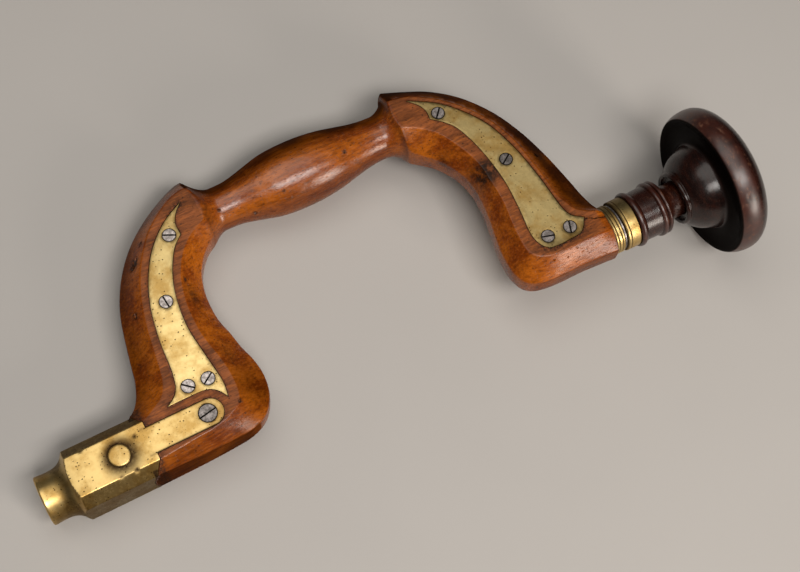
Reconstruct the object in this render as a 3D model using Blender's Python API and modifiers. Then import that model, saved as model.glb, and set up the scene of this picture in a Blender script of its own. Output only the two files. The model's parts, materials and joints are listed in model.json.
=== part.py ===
"""A plated carpenter's brace: beech stock, brass chuck and inlaid plates, turned rosewood head.

Every length in this file is in millimetres and becomes metres in `mesh_from`. The pieces are
built in the brace's own frame: x runs along the spindle from the mouth of the chuck to the head,
y from the spindle to the grip, z out of the front face. `lay_down` then rests the brace on the
three points that touch a bench.
"""

import math

import bmesh
import bpy
from mathutils import Matrix, Vector, geometry

MM = 0.001
GAP = 0.3
RUNNING = 0.1

# The stock, with its chamfered octagonal section.
HALF_THICKNESS = 14.13
NECK_HALF_THICKNESS = 12.4
GRIP_OFFSET = 89.4
STOCK_END = 277.2
ROUND_SEGMENTS_PER_SIDE = 3

# The chuck and its two tangs.
FACET_HALF = 9.13
SHOULDER_CENTRE = 65.0
SHOULDER_RADIUS = 20.0
SHOULDER_END = 51.05
TANG_HALF = 6.07
TANG_THICK = 2.6
TANG_ROUND_X = 78.1
TANG_SCREW_X = 77.2
SOCKET_DEPTH = 32.0
SOCKET_MOUTH_HALF = 6.5
SOCKET_END_HALF = 4.4

# The latch inside the chuck.
BUTTON_X = 36.4
BUTTON_RADIUS = 4.95
BUTTON_PROUD = 0.8
PIVOT_X = 29.0
PIVOT_Z = 8.2
PIN_RADIUS = 0.8
LATCH_HALF_WIDTH = 3.2

# Plates and screws.
PLATE_THICK = 2.0
PLATE_SCREW_HEAD = 6.1
TANG_SCREW_HEAD = 8.2
SCREW_SEGMENTS = 14

# Spindle and head.
SPINDLE_RADIUS = 4.0
SPINDLE_START = 255.6
SPINDLE_END = 344.0
HEAD_RIM_X = 338.0
HEAD_RIM_RADIUS = 35.9
COUNTERBORE_X = 337.0
COUNTERBORE_RADIUS = 9.0

# Stations of the two webs. Each row: the outer side (x, y), the inner side (x, y), the width of
# the outer chamfer, the width of the inner chamfer, half the height of the side facets.
LOWER_WEB = [
    (43.5, 14.1, 43.5, -14.1, 5.0, 5.0, 9.1),
    (47.0, 14.9, 52.0, -14.1, 5.3, 5.0, 8.9),
    (50.3, 17.6, 62.0, -14.1, 8.0, 6.0, 8.4),
    (52.8, 21.5, 72.0, -14.1, 10.3, 7.2, 7.6),
    (54.6, 26.0, 82.0, -13.8, 13.3, 8.2, 6.8),
    (55.9, 30.5, 92.0, -12.9, 14.5, 10.5, 6.0),
    (56.9, 36.0, 100.3, -9.0, 14.3, 12.0, 5.4),
    (57.9, 41.0, 105.2, -1.5, 13.3, 15.6, 5.0),
    (58.9, 46.0, 106.9, 7.0, 12.6, 18.0, 4.8),
    (60.0, 51.0, 106.0, 15.5, 12.0, 18.8, 4.8),
    (61.3, 56.5, 103.7, 23.2, 11.8, 17.5, 4.8),
    (63.0, 62.0, 102.2, 31.0, 11.4, 15.8, 4.8),
    (65.3, 67.5, 100.3, 38.5, 10.8, 13.3, 4.8),
    (68.4, 73.5, 99.8, 46.0, 10.1, 11.5, 4.8),
    (72.5, 79.8, 100.5, 54.5, 9.2, 9.8, 4.8),
    (77.6, 86.0, 102.6, 61.8, 8.3, 8.5, 4.9),
    (84.0, 92.0, 105.6, 67.0, 7.0, 8.0, 5.0),
    (92.0, 97.8, 109.0, 71.2, 6.3, 7.3, 5.2),
    (101.5, 103.0, 111.8, 73.6, 5.8, 6.6, 5.6),
    (109.0, 106.0, 113.5, 74.8, 6.5, 6.6, 6.0),
    (113.6, 106.6, 115.0, 75.6, 7.4, 6.8, 6.4),
]
UPPER_WEB = [
    (216.2, 106.8, 214.5, 73.5, 8.6, 9.9, 6.4),
    (226.0, 103.3, 218.4, 69.9, 7.2, 10.5, 5.6),
    (237.5, 98.2, 224.5, 64.0, 8.5, 10.0, 5.0),
    (249.3, 89.0, 230.0, 55.0, 9.5, 8.2, 4.8),
    (259.5, 75.5, 232.4, 46.0, 9.5, 7.6, 4.8),
    (266.2, 61.0, 232.5, 38.0, 10.0, 7.0, 4.8),
    (270.6, 46.5, 231.3, 28.0, 11.5, 8.0, 4.8),
    (273.2, 34.5, 229.3, 18.0, 12.5, 8.5, 4.8),
    (274.6, 27.0, 228.0, 8.5, 13.5, 9.0, 4.8),
    (275.4, 22.0, 228.6, -1.5, 12.5, 9.3, 4.8),
    (275.9, 19.2, 233.0, -8.3, 12.0, 11.5, 5.0),
    (276.3, 17.2, 243.0, -10.9, 10.5, 11.5, 5.2),
    (276.7, 15.2, 260.0, -11.1, 8.5, 8.9, 5.4),
    (277.0, 13.6, 270.5, -11.7, 7.0, 8.3, 5.4),
    (277.2, 12.4, 277.2, -12.2, 6.6, 8.4, 5.2),
]
# The turned grip: (x, radius), and where the two coves meet it.
GRIP_RADII = [
    (122.6, 10.35),
    (130.0, 10.5),
    (137.0, 11.9),
    (143.5, 13.6),
    (150.0, 15.1),
    (157.0, 15.8),
    (165.0, 15.95),
    (172.0, 15.6),
    (180.0, 14.6),
    (188.0, 12.9),
    (195.0, 11.4),
    (201.0, 10.6),
    (206.4, 10.4),
]
COVE_STEPS = (0.04, 0.14, 0.3, 0.5, 0.74)

# Plate outlines: runs of points between sharp corners. Each run is smoothed on its own.
LOWER_PLATE = [
    [(107.8, 94.2), (97.4, 88.5), (87.1, 78.6), (79.8, 66.4), (75.0, 53.1), (72.4, 38.0),
     (71.3, 23.4), (68.9, 14.6), (63.3, 10.1)],
    [(63.3, 10.1), (77.6, 10.1), (82.4, 9.2), (85.7, 6.6), (88.0, 2.9)],
    [(88.0, 2.9), (88.9, 10.0), (87.4, 23.0), (85.8, 38.4), (87.0, 52.3), (90.2, 63.8),
     (95.7, 74.3), (101.5, 80.0)],
    [(101.5, 80.0), (101.6, 86.0), (104.2, 90.7), (107.8, 94.2)],
]
UPPER_PLATE = [
    [(222.7, 94.5), (226.9, 90.0), (228.6, 85.6), (228.3, 81.4)],
    [(228.3, 81.4), (233.7, 76.7), (238.1, 70.2), (242.0, 56.5), (244.0, 40.0), (243.4, 24.8),
     (241.9, 11.3), (242.8, 5.0), (245.6, 1.2), (249.6, 0.1), (257.0, 0.2), (263.5, 1.3),
     (267.7, 6.7)],
    [(267.7, 6.7), (262.8, 10.4), (260.8, 16.5), (259.3, 32.5), (256.6, 50.0), (251.2, 67.0),
     (242.5, 79.8), (234.0, 87.9), (222.7, 94.5)],
]
LOWER_SCREWS = [(96.7, 81.8, 154), (82.4, 53.8, 94), (74.7, 14.6, 139), (83.8, 14.0, 34)]
UPPER_SCREWS = [(233.1, 82.5, 49), (250.0, 47.9, 34), (248.3, 5.9, 164), (259.6, 5.5, 72)]

# Turned profiles: (x along the spindle, radius), from the head end towards the chuck.
CHUCK_TURNING = [
    (90.0, 19.0),
    (17.0, 19.0),
    (15.1, 16.8),
    (13.6, 14.1),
    (12.2, 12.6),
    (10.2, 11.5),
    (7.6, 10.95),
    (4.0, 10.9),
    (1.2, 11.15),
    (0.4, 11.04),
    (0.0, 10.5),
]
NECK_TURNING = [
    (319.0, 8.4),
    (311.0, 8.4),
    (309.0, 9.0),
    (307.9, 10.6),
    (307.3, 12.4),
    (306.4, 13.1),
    (305.6, 12.9),
    (305.15, 12.3),
    (304.7, 12.9),
    (303.7, 13.3),
    (302.7, 13.1),
    (302.0, 12.2),
    (294.2, 11.95),
    (293.6, 12.6),
    (292.4, 13.35),
    (291.2, 13.2),
    (290.5, 12.6),
    (290.5, 9.8),
    (284.2, 9.8),
]
HEAD_TURNING = [
    (350.0, 11.0),
    (349.3, 18.0),
    (348.0, 25.0),
    (346.3, 30.0),
    (344.0, 33.3),
    (341.2, 35.3),
    (338.0, 35.9),
    (334.6, 35.6),
    (331.8, 34.7),
    (330.3, 33.6),
    (330.6, 32.2),
    (331.7, 29.6),
    (332.2, 26.2),
    (331.7, 23.2),
    (330.3, 21.2),
    (327.4, 20.1),
    (323.6, 18.5),
    (320.2, 16.2),
    (318.0, 14.0),
    (317.2, 12.9),
    (316.2, 13.0),
    (315.2, 12.4),
    (315.2, 11.2),
    (317.0, 10.6),
]


def spline(rows, steps):
    """Points on a Catmull-Rom curve through the rows, with `steps` points to a span."""
    ends = [rows[0]] + rows + [rows[-1]]
    points = []
    for i in range(1, len(ends) - 2):
        for step in range(steps):
            t = step / steps
            points.append([blend_four(ends[i - 1 : i + 3], axis, t) for axis in range(len(rows[0]))])
    points.append(list(rows[-1]))
    return points


def blend_four(rows, axis, t):
    """One number on the Catmull-Rom span between the middle two of four rows."""
    a, b, c, d = (row[axis] for row in rows)
    return 0.5 * (2 * b + (c - a) * t + (2 * a - 5 * b + 4 * c - d) * t**2 + (3 * b - a - 3 * c + d) * t**3)


def smooth_outline(runs, steps=2):
    """One closed outline from runs that meet at sharp corners."""
    outline = []
    for run in runs:
        outline += spline(run, steps)[:-1]
    return outline


def widen(outline, by):
    """The closed outline moved outwards along its normals, with its sharp tips held short."""
    count = len(outline)
    area = sum(cross(outline[i - 1], outline[i]) for i in range(count))
    side = 1 if area > 0 else -1
    moved = []
    for i in range(count):
        before = Vector(outline[i]) - Vector(outline[i - 1])
        after = Vector(outline[(i + 1) % count]) - Vector(outline[i])
        normals = [Vector((edge.y, -edge.x)).normalized() * side for edge in (before, after)]
        middle = (normals[0] + normals[1]).normalized()
        reach = by / max(middle.dot(normals[0]), 0.5)
        moved.append(tuple(Vector(outline[i]) + middle * reach))
    return moved


def cross(a, b):
    return a[0] * b[1] - a[1] * b[0]


def material(name, color, metallic, roughness):
    made = bpy.data.materials.new(name)
    made.use_nodes = True
    shader = made.node_tree.nodes["Principled BSDF"]
    shader.inputs["Base Color"].default_value = (*color, 1.0)
    shader.inputs["Metallic"].default_value = metallic
    shader.inputs["Roughness"].default_value = roughness
    return made


def mesh_from(name, points, faces, edges=()):
    """A mesh in metres, from points in millimetres, with its faces turned outwards."""
    mesh = bpy.data.meshes.new(name)
    mesh.from_pydata([[c * MM for c in p] for p in points], edges, faces)
    if faces:
        body = bmesh.new()
        body.from_mesh(mesh)
        bmesh.ops.recalc_face_normals(body, faces=body.faces)
        body.to_mesh(mesh)
        body.free()
    return mesh


def place(name, mesh, collection, parent, origin=(0, 0, 0), turn=None):
    """An object whose mesh is given about its own origin, which lies at `origin` in the brace."""
    obj = bpy.data.objects.new(name, mesh)
    collection.objects.link(obj)
    obj.parent = parent
    obj.matrix_basis = Matrix.Translation(Vector(origin) * MM) @ (turn or Matrix())
    return obj


def prism_mesh(name, outline, low, high, along="z"):
    """A flat outline made solid between two heights. `along` y takes the outline as (x, z)."""
    area = sum(cross(outline[i - 1], outline[i]) for i in range(len(outline)))
    loop = list(outline) if area > 0 else list(outline)[::-1]
    count = len(loop)
    points = [(*p, level) for level in (low, high) for p in loop]
    faces = [tuple(range(count))[::-1], tuple(range(count, 2 * count))]
    for i in range(count):
        j = (i + 1) % count
        faces.append((i, j, count + j, count + i))
    if along == "y":
        points = [(x, -level, z) for x, z, level in points]
    return mesh_from(name, points, faces)


def ring_segment(centre, radius, start, end, steps):
    """Points of an arc in a plane, from one angle to another in degrees."""
    angles = [math.radians(start + (end - start) * i / steps) for i in range(steps + 1)]
    return [(centre[0] + radius * math.cos(a), centre[1] + radius * math.sin(a)) for a in angles]


def add_screw(obj, steps):
    """Revolves the profile that the object holds about its own z axis."""
    screw = obj.modifiers.new("turned", "SCREW")
    screw.steps = screw.render_steps = steps
    screw.use_merge_vertices = True
    screw.merge_threshold = 1e-6
    screw.use_smooth_shade = False


def turned(name, outer, collection, parent, bore=None, steps=32, datum=0.0):
    """A turned piece about the spindle axis. `outer` runs from its far end towards the chuck."""
    profile = [(radius, x - datum) for x, radius in outer]
    if bore is None:
        profile = [(0.0, profile[0][1])] + profile + [(0.0, profile[-1][1])]
    else:
        profile += [(radius, x - datum) for x, radius in bore]
    count = len(profile)
    edges = [(i, i + 1) for i in range(count - 1)]
    if bore is not None:
        edges.append((count - 1, 0))
    mesh = mesh_from(name, [(r, 0.0, h) for r, h in profile], [], edges)
    turn = Matrix.Rotation(math.pi / 2, 4, "Y")
    obj = place(name, mesh, collection, parent, (datum, 0, 0), turn)
    add_screw(obj, steps)
    return obj


def cylinder(name, collection, parent, centre, radius, length, axis="z", segments=32):
    """A plain cylinder about `centre`, along one axis of the brace."""
    body = bmesh.new()
    bmesh.ops.create_cone(body, cap_ends=True, segments=segments, radius1=radius * MM,
                          radius2=radius * MM, depth=length * MM)
    mesh = bpy.data.meshes.new(name)
    body.to_mesh(mesh)
    body.free()
    turn = {
        "x": Matrix.Rotation(math.pi / 2, 4, "Y"),
        "y": Matrix.Rotation(math.pi / 2, 4, "X"),
        "z": Matrix(),
    }[axis]
    return place(name, mesh, collection, parent, centre, turn)


def box(name, collection, parent, low, high):
    """A box between two corners."""
    points = [(x, y, z) for z in (low[2], high[2]) for y in (low[1], high[1]) for x in (low[0], high[0])]
    faces = [(0, 2, 3, 1), (4, 5, 7, 6), (0, 1, 5, 4), (2, 6, 7, 3), (0, 4, 6, 2), (1, 3, 7, 5)]
    return place(name, mesh_from(name, points, faces), collection, parent)


def boolean(obj, cutter, operation="DIFFERENCE"):
    cut = obj.modifiers.new(cutter.name, "BOOLEAN")
    cut.operation = operation
    cut.solver = "EXACT"
    cut.object = cutter


def octagon_ring(row, half_thickness, per_side=1):
    """The ring of points around one web section, from the front edge of the outer chamfer."""
    outer, inner = Vector(row[0:2]), Vector(row[2:4])
    outer_width, inner_width, side = row[4:7]
    across = inner - outer
    length = across.length
    across.normalize()
    corners = [
        (outer_width, half_thickness),
        (length - inner_width, half_thickness),
        (length, side),
        (length, -side),
        (length - inner_width, -half_thickness),
        (outer_width, -half_thickness),
        (0.0, -side),
        (0.0, side),
    ]
    ring = []
    for i, (reach, z) in enumerate(corners):
        next_reach, next_z = corners[(i + 1) % 8]
        for step in range(per_side):
            t = step / per_side
            at = outer + across * (reach + (next_reach - reach) * t)
            ring.append(Vector((at.x, at.y, z + (next_z - z) * t)))
    return ring


def round_ring(x, radius):
    """The ring of points around the grip, in step with those of a collar."""
    count = 8 * ROUND_SEGMENTS_PER_SIDE
    ring = []
    for i in range(count):
        angle = math.radians(67.5 + 360.0 * i / count)
        ring.append(Vector((x, GRIP_OFFSET + radius * math.cos(angle), radius * math.sin(angle))))
    return ring


def cove_rings(collar, throat):
    """Rings that sweep from a collar's edge down a quarter-round cove to the grip."""
    rings = []
    for u in COVE_STEPS:
        fall = math.sqrt(1 - (1 - u) ** 2)
        ring = []
        for edge, base in zip(collar, throat):
            at = edge.lerp(base, fall)
            at.x = edge.x + (base.x - edge.x) * u
            ring.append(at)
        rings.append(ring)
    return rings


def stock_rings():
    """All rings of the stock, from inside the chuck to the neck."""
    lower = [octagon_ring(row, HALF_THICKNESS) for row in spline(LOWER_WEB, 2)]
    lower[-1] = octagon_ring(LOWER_WEB[-1], HALF_THICKNESS, ROUND_SEGMENTS_PER_SIDE)
    upper = []
    for row in spline(UPPER_WEB, 2):
        near_end = max(0.0, (row[2] - 262.0) / (STOCK_END - 262.0))
        thin = (HALF_THICKNESS - NECK_HALF_THICKNESS) * near_end**2
        upper.append(octagon_ring(row, HALF_THICKNESS - thin))
    upper[0] = octagon_ring(UPPER_WEB[0], HALF_THICKNESS, ROUND_SEGMENTS_PER_SIDE)
    grip = [round_ring(x, radius) for x, radius in spline(GRIP_RADII, 2)]
    rising = cove_rings(upper[0], grip[-1])[::-1]
    return lower + cove_rings(lower[-1], grip[0]) + grip + rising + upper


def bridge(first, second):
    """Faces between two rings of point numbers, where one may have more points to a side."""
    if len(first) > len(second):
        first, second = second, first
    extra = len(second) // len(first)
    faces = []
    for i in range(len(first)):
        run = [second[(i * extra + k) % len(second)] for k in range(extra + 1)]
        faces.append([first[(i + 1) % len(first)], first[i]] + run)
    return faces


def stock_mesh():
    points, numbers = [], []
    for ring in stock_rings():
        numbers.append(list(range(len(points), len(points) + len(ring))))
        points += ring
    faces = [numbers[0], numbers[-1]]
    for first, second in zip(numbers, numbers[1:]):
        faces += bridge(first, second)
    return mesh_from("beech_stock", points, faces)


def tang_outline(extra):
    """The tang seen from the front, from inside the chuck to its rounded end."""
    half = TANG_HALF + extra
    return [(40.0, -half)] + ring_segment((TANG_ROUND_X, 0.0), half, -90, 90, 16) + [(40.0, half)]


def shoulder_outline(radius, half_height, reach):
    """The curved shoulder seen from the side: everything from the shoulder to `reach`."""
    limit = math.degrees(math.asin(min(half_height, radius * 0.9) / radius))
    arc = ring_segment((SHOULDER_CENTRE, 0.0), radius, 180 - limit, 180 + limit, 12)
    return arc + [(reach, arc[-1][1]), (reach, arc[0][1])]


def countersunk_profile(head, length, extra):
    """A wood screw's (height, radius) below its flat head, grown by `extra` all round."""
    half = head / 2
    shank = head * 0.25
    return [
        (3.0 if extra else 0.0, half + extra),
        (-0.7, half + extra),
        (-0.7 - (half - shank), shank + extra),
        (-length - extra, 0.6),
    ]


def screw_mesh(name, head, length, collection, parent):
    """A slotted countersunk screw about its own head, finished as one mesh."""
    profile = [(r, 0.0, z) for z, r in countersunk_profile(head, length, 0.0)]
    profile = [(0.0, 0.0, profile[0][2])] + profile + [(0.0, 0.0, profile[-1][2])]
    edges = [(i, i + 1) for i in range(len(profile) - 1)]
    obj = place(name, mesh_from(name, profile, [], edges), collection, parent)
    add_screw(obj, SCREW_SEGMENTS)
    half = head / 2
    slot = box(name + "_slot", collection, parent, (-half - 1, -0.38, -0.8), (half + 1, 0.38, 1.0))
    boolean(obj, slot)
    bpy.context.view_layer.update()
    graph = bpy.context.evaluated_depsgraph_get()
    return bpy.data.meshes.new_from_object(obj.evaluated_get(graph))


def screw_sites():
    """Every screw: (name, x, y, slot angle, side), with side 1 for the front and -1 for the back."""
    sites = []
    for web, rows in (("lower", LOWER_SCREWS), ("upper", UPPER_SCREWS)):
        for side, face in ((1, "front"), (-1, "back")):
            for i, (x, y, angle) in enumerate(rows):
                turn = angle if side == 1 else angle * 7 % 180
                sites.append((f"{web}_{face}_screw_{i + 1}", x, y, turn, side))
    return sites


def face_turn(side, angle=0.0):
    """Turns a piece made for the front so that it faces the given side."""
    flip = Matrix.Rotation(math.pi, 4, "X") if side < 0 else Matrix()
    return flip @ Matrix.Rotation(math.radians(angle), 4, "Z")


def hole_cutter(name, head, length, x, y, side, cutters, root):
    """A cutter for one screw, with clearance."""
    profile = [(r, 0.0, z) for z, r in countersunk_profile(head, length, GAP)]
    profile = [(0.0, 0.0, profile[0][2])] + profile + [(0.0, 0.0, profile[-1][2])]
    edges = [(i, i + 1) for i in range(len(profile) - 1)]
    mesh = mesh_from(name, profile, [], edges)
    obj = place(name, mesh, cutters, root, (x, y, side * HALF_THICKNESS), face_turn(side))
    add_screw(obj, SCREW_SEGMENTS)
    return obj


def build_plates(stock, parts, cutters, root, brass):
    """Four inlaid plates, their pockets and their screws."""
    holes = {}
    for name, x, y, _, side in screw_sites():
        holes[name] = hole_cutter(name + "_hole", PLATE_SCREW_HEAD, 9.0, x, y, side, cutters, root)
        boolean(stock, holes[name])
    for web, runs in (("lower", LOWER_PLATE), ("upper", UPPER_PLATE)):
        outline = smooth_outline(runs)
        pocket = widen(outline, GAP)
        for side, face in ((1, "front"), (-1, "back")):
            name = f"{web}_{face}_plate"
            top = side * HALF_THICKNESS
            under = side * (HALF_THICKNESS - PLATE_THICK)
            plate = place(name, prism_mesh(name, outline, min(top, under), max(top, under)), parts, root)
            plate.data.materials.append(brass)
            floor = side * (HALF_THICKNESS - PLATE_THICK - GAP)
            above = side * (HALF_THICKNESS + 2)
            mesh = prism_mesh(name + "_pocket", pocket, min(floor, above), max(floor, above))
            boolean(stock, place(name + "_pocket", mesh, cutters, root))
            for hole_name, hole in holes.items():
                if hole_name.startswith(f"{web}_{face}"):
                    boolean(plate, hole)


def build_screws(stock, chuck, parts, cutters, root, steel):
    """The sixteen plate screws and the two larger tang screws."""
    small = screw_mesh("plate_screw_pattern", PLATE_SCREW_HEAD, 9.0, cutters, root)
    large = screw_mesh("tang_screw_pattern", TANG_SCREW_HEAD, 11.0, cutters, root)
    small.materials.append(steel)
    large.materials.append(steel)
    for name, x, y, angle, side in screw_sites():
        place(name, small, parts, root, (x, y, side * HALF_THICKNESS), face_turn(side, angle))
    for name, angle, side in (("tang_front_screw", 10, 1), ("tang_back_screw", 115, -1)):
        at = (TANG_SCREW_X, 0.0, side * HALF_THICKNESS)
        place(name, large, parts, root, at, face_turn(side, angle))
        hole = hole_cutter(name + "_hole", TANG_SCREW_HEAD, 11.0, TANG_SCREW_X, 0.0, side, cutters, root)
        boolean(stock, hole)
        boolean(chuck, hole)


def build_stock(parts, cutters, root, beech):
    """The beech stock with its curved end at the chuck, its tang recesses and its spindle bore."""
    stock = place("beech_stock", stock_mesh(), parts, root)
    stock.data.materials.append(beech)
    arc = shoulder_outline(SHOULDER_RADIUS - GAP, 17.0, 30.0)
    mesh = prism_mesh("stock_end_cut", arc, -30.0, 30.0, along="y")
    boolean(stock, place("stock_end_cut", mesh, cutters, root))
    for side, face in ((1, "front"), (-1, "back")):
        floor = side * (HALF_THICKNESS - TANG_THICK - GAP)
        above = side * (HALF_THICKNESS + 3)
        mesh = prism_mesh("recess", tang_outline(GAP), min(floor, above), max(floor, above))
        boolean(stock, place(f"tang_recess_{face}", mesh, cutters, root))
    bore = cylinder("spindle_bore", cutters, root, (270.0, 0, 0), SPINDLE_RADIUS + GAP, 30.0, "x")
    boolean(stock, bore)
    return stock


def build_chuck(parts, cutters, root, brass):
    """The octagonal chuck with its turned mouth, tapered socket, latch slot and two tangs."""
    corner = FACET_HALF
    outline = [
        (corner, HALF_THICKNESS),
        (-corner, HALF_THICKNESS),
        (-HALF_THICKNESS, corner),
        (-HALF_THICKNESS, -corner),
        (-corner, -HALF_THICKNESS),
        (corner, -HALF_THICKNESS),
        (HALF_THICKNESS, -corner),
        (HALF_THICKNESS, corner),
    ]
    points = [(x, y, z) for x in (-2.0, 90.0) for y, z in outline]
    faces = [tuple(range(8)), tuple(range(8, 16))[::-1]]
    for i in range(8):
        j = (i + 1) % 8
        faces.append((j, i, 8 + i, 8 + j))
    chuck = place("chuck_body", mesh_from("chuck_body", points, faces), parts, root)
    chuck.data.materials.append(brass)
    boolean(chuck, turned("chuck_turning", CHUCK_TURNING, cutters, root, steps=36), "INTERSECT")
    tang = [p for p in tang_outline(0.0) if p[0] > 45]
    plan = [(SHOULDER_END, -TANG_HALF)] + tang + [(SHOULDER_END, TANG_HALF)]
    plan += [(SHOULDER_END, 20.0), (-5.0, 20.0), (-5.0, -20.0), (SHOULDER_END, -20.0)]
    mesh = prism_mesh("chuck_plan", plan, -20.0, 20.0)
    boolean(chuck, place("chuck_plan", mesh, cutters, root), "INTERSECT")
    inside = HALF_THICKNESS - TANG_THICK
    cuts = (("tang_space", -20.0, 20.0, inside), ("shoulder_left", TANG_HALF, 20.0, 17.5),
            ("shoulder_right", -20.0, -TANG_HALF, 17.5))
    for name, low, high, half_height in cuts:
        arc = shoulder_outline(SHOULDER_RADIUS, half_height, 95.0)
        mesh = prism_mesh(name, arc, -high, -low, along="y")
        boolean(chuck, place(name, mesh, cutters, root))
    boolean(chuck, socket_cutter(cutters, root))
    boolean(chuck, box("latch_slot", cutters, root, (19.8, -LATCH_HALF_WIDTH - 0.4, 4.0),
                       (41.0, LATCH_HALF_WIDTH + 0.4, 11.2)))
    boolean(chuck, cylinder("button_bore", cutters, root, (BUTTON_X, 0, 15.0), BUTTON_RADIUS + RUNNING, 10.0))
    boolean(chuck, cylinder("spring_pocket", cutters, root, (BUTTON_X, 0, 2.0), 2.5, 8.0))
    boolean(chuck, cylinder("pin_bore", cutters, root, (PIVOT_X, 3.5, PIVOT_Z), PIN_RADIUS + GAP, 23.0, "y", 16))
    return chuck


def socket_cutter(cutters, root):
    """The tapered square socket, made a little longer than the chuck so that it cuts the mouth."""
    taper = (SOCKET_MOUTH_HALF - SOCKET_END_HALF) / SOCKET_DEPTH
    start, end = -1.0, SOCKET_DEPTH
    points = []
    for x in (start, end):
        half = SOCKET_MOUTH_HALF - taper * x
        points += [(x, half, half), (x, -half, half), (x, -half, -half), (x, half, -half)]
    faces = [(0, 1, 2, 3), (7, 6, 5, 4)]
    for i in range(4):
        j = (i + 1) % 4
        faces.append((j, i, 4 + i, 4 + j))
    return place("socket", mesh_from("socket", points, faces), cutters, root)


def build_latch(parts, cutters, root, brass, steel):
    """The release button, the latch it tips, the pin that the latch turns on, and its spring."""
    profile = [
        (HALF_THICKNESS + BUTTON_PROUD, 3.6),
        (HALF_THICKNESS + BUTTON_PROUD - 0.15, 4.6),
        (HALF_THICKNESS + BUTTON_PROUD - 0.5, BUTTON_RADIUS),
        (11.6, BUTTON_RADIUS),
        (11.6, 2.1),
        (9.2, 2.1),
        (9.2, 1.2),
        (6.1, 1.2),
        (6.1, 2.0),
        (5.1, 2.0),
    ]
    points = [(0.0, 0.0, profile[0][0])] + [(r, 0.0, z) for z, r in profile] + [(0.0, 0.0, 5.1)]
    edges = [(i, i + 1) for i in range(len(points) - 1)]
    button = place("release_button", mesh_from("release_button", points, [], edges), parts, root,
                   (BUTTON_X, 0, 0))
    button.data.materials.append(brass)
    add_screw(button, 32)
    build_lever(parts, cutters, root, steel)
    pin = cylinder("latch_pin", parts, root, (PIVOT_X, 3.25, PIVOT_Z), PIN_RADIUS, 21.5, "y", 16)
    pin.data.materials.append(steel)
    spring = place("latch_spring", spring_curve(), parts, root, (BUTTON_X, 0, 0))
    spring.data.materials.append(steel)


def build_lever(parts, cutters, root, steel):
    """The latch: a nose that stands in the socket, an eye for the pin, a tail under the button."""
    outline = [
        (39.4, 6.7), (39.4, 8.7), (31.4, 8.7), (30.6, 9.8), (29.0, 10.4), (27.4, 9.9), (26.4, 8.8),
        (21.0, 8.4), (20.6, 7.6), (20.9, 4.3), (21.6, 3.8), (23.6, 4.7), (24.6, 6.2), (27.2, 6.3),
        (29.0, 5.9), (31.0, 6.5),
    ]
    shape = [(x - PIVOT_X, z - PIVOT_Z) for x, z in outline]
    mesh = prism_mesh("latch_lever", shape, -LATCH_HALF_WIDTH, LATCH_HALF_WIDTH, along="y")
    lever = place("latch_lever", mesh, parts, root, (PIVOT_X, 0, PIVOT_Z))
    lever.data.materials.append(steel)
    boolean(lever, cylinder("lever_eye", cutters, root, (PIVOT_X, 0, PIVOT_Z), PIN_RADIUS + RUNNING, 12.0, "y", 16))
    boolean(lever, box("stem_hole", cutters, root, (34.4, -1.6, 5.0), (38.4, 1.6, 10.0)))


def spring_curve():
    """A coil spring about its own z axis, from the floor of its pocket to the button's foot."""
    turns, steps, low, high, radius, wire = 5, 10, -1.3, 4.5, 1.7, 0.3
    curve = bpy.data.curves.new("latch_spring", "CURVE")
    curve.dimensions = "3D"
    curve.bevel_depth = wire * MM
    curve.bevel_resolution = 1
    curve.use_fill_caps = True
    count = turns * steps
    line = curve.splines.new("POLY")
    line.points.add(count)
    for i in range(count + 1):
        angle = 2 * math.pi * i / steps
        height = low + (high - low) * i / count
        at = (radius * math.cos(angle) * MM, radius * math.sin(angle) * MM, height * MM, 1.0)
        line.points[i].co = at
    return curve


def build_head(parts, cutters, root, brass, steel, rosewood):
    """The spindle fixed in the stock, and the neck and head that turn on it."""
    clear = SPINDLE_RADIUS + RUNNING
    rows = (
        ("stock_ferrule", [(282.0, 11.3), (281.6, 11.7), (277.9, 11.7), (277.5, 11.5)], brass, 277.5),
        ("thrust_washer", [(283.2, 11.0), (282.3, 11.0)], steel, 282.3),
    )
    for name, outer, finish, near in rows:
        far = outer[0][0]
        obj = turned(name, outer, parts, root, bore=[(near, clear), (far, clear)])
        obj.data.materials.append(finish)
    ferrule = turned("neck_ferrule", [(290.2, 12.1), (284.0, 12.1), (283.5, 11.7)], parts, root,
                     bore=[(283.5, 10.1), (290.2, 10.1)], datum=290.0)
    ferrule.data.materials.append(brass)
    neck = turned("neck_bush", NECK_TURNING, parts, root, bore=[(284.2, clear), (319.0, clear)],
                  steps=28, datum=300.0)
    neck.data.materials.append(rosewood)
    inside = [(317.0, 8.7), (319.4, 8.7), (319.4, clear), (COUNTERBORE_X, clear),
              (COUNTERBORE_X, COUNTERBORE_RADIUS), (350.2, COUNTERBORE_RADIUS)]
    head = turned("head", HEAD_TURNING, parts, root, bore=inside, steps=38, datum=HEAD_RIM_X)
    head.data.materials.append(rosewood)
    plug = turned("head_plug", [(350.4, 5.0), (350.2, COUNTERBORE_RADIUS - GAP),
                                (345.6, COUNTERBORE_RADIUS - GAP)], parts, root, datum=346.0)
    plug.data.materials.append(rosewood)
    spindle = turned("spindle", [(SPINDLE_END, 3.5), (SPINDLE_END - 0.5, SPINDLE_RADIUS),
                                 (SPINDLE_START + 0.5, SPINDLE_RADIUS), (SPINDLE_START, 3.5)],
                     parts, root, steps=24)
    spindle.data.materials.append(steel)
    washer = turned("nut_washer", [(338.5, 8.4), (337.3, 8.4)], parts, root,
                    bore=[(337.3, clear), (338.5, clear)], steps=24)
    washer.data.materials.append(steel)
    build_nut(parts, cutters, root, steel)


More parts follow.
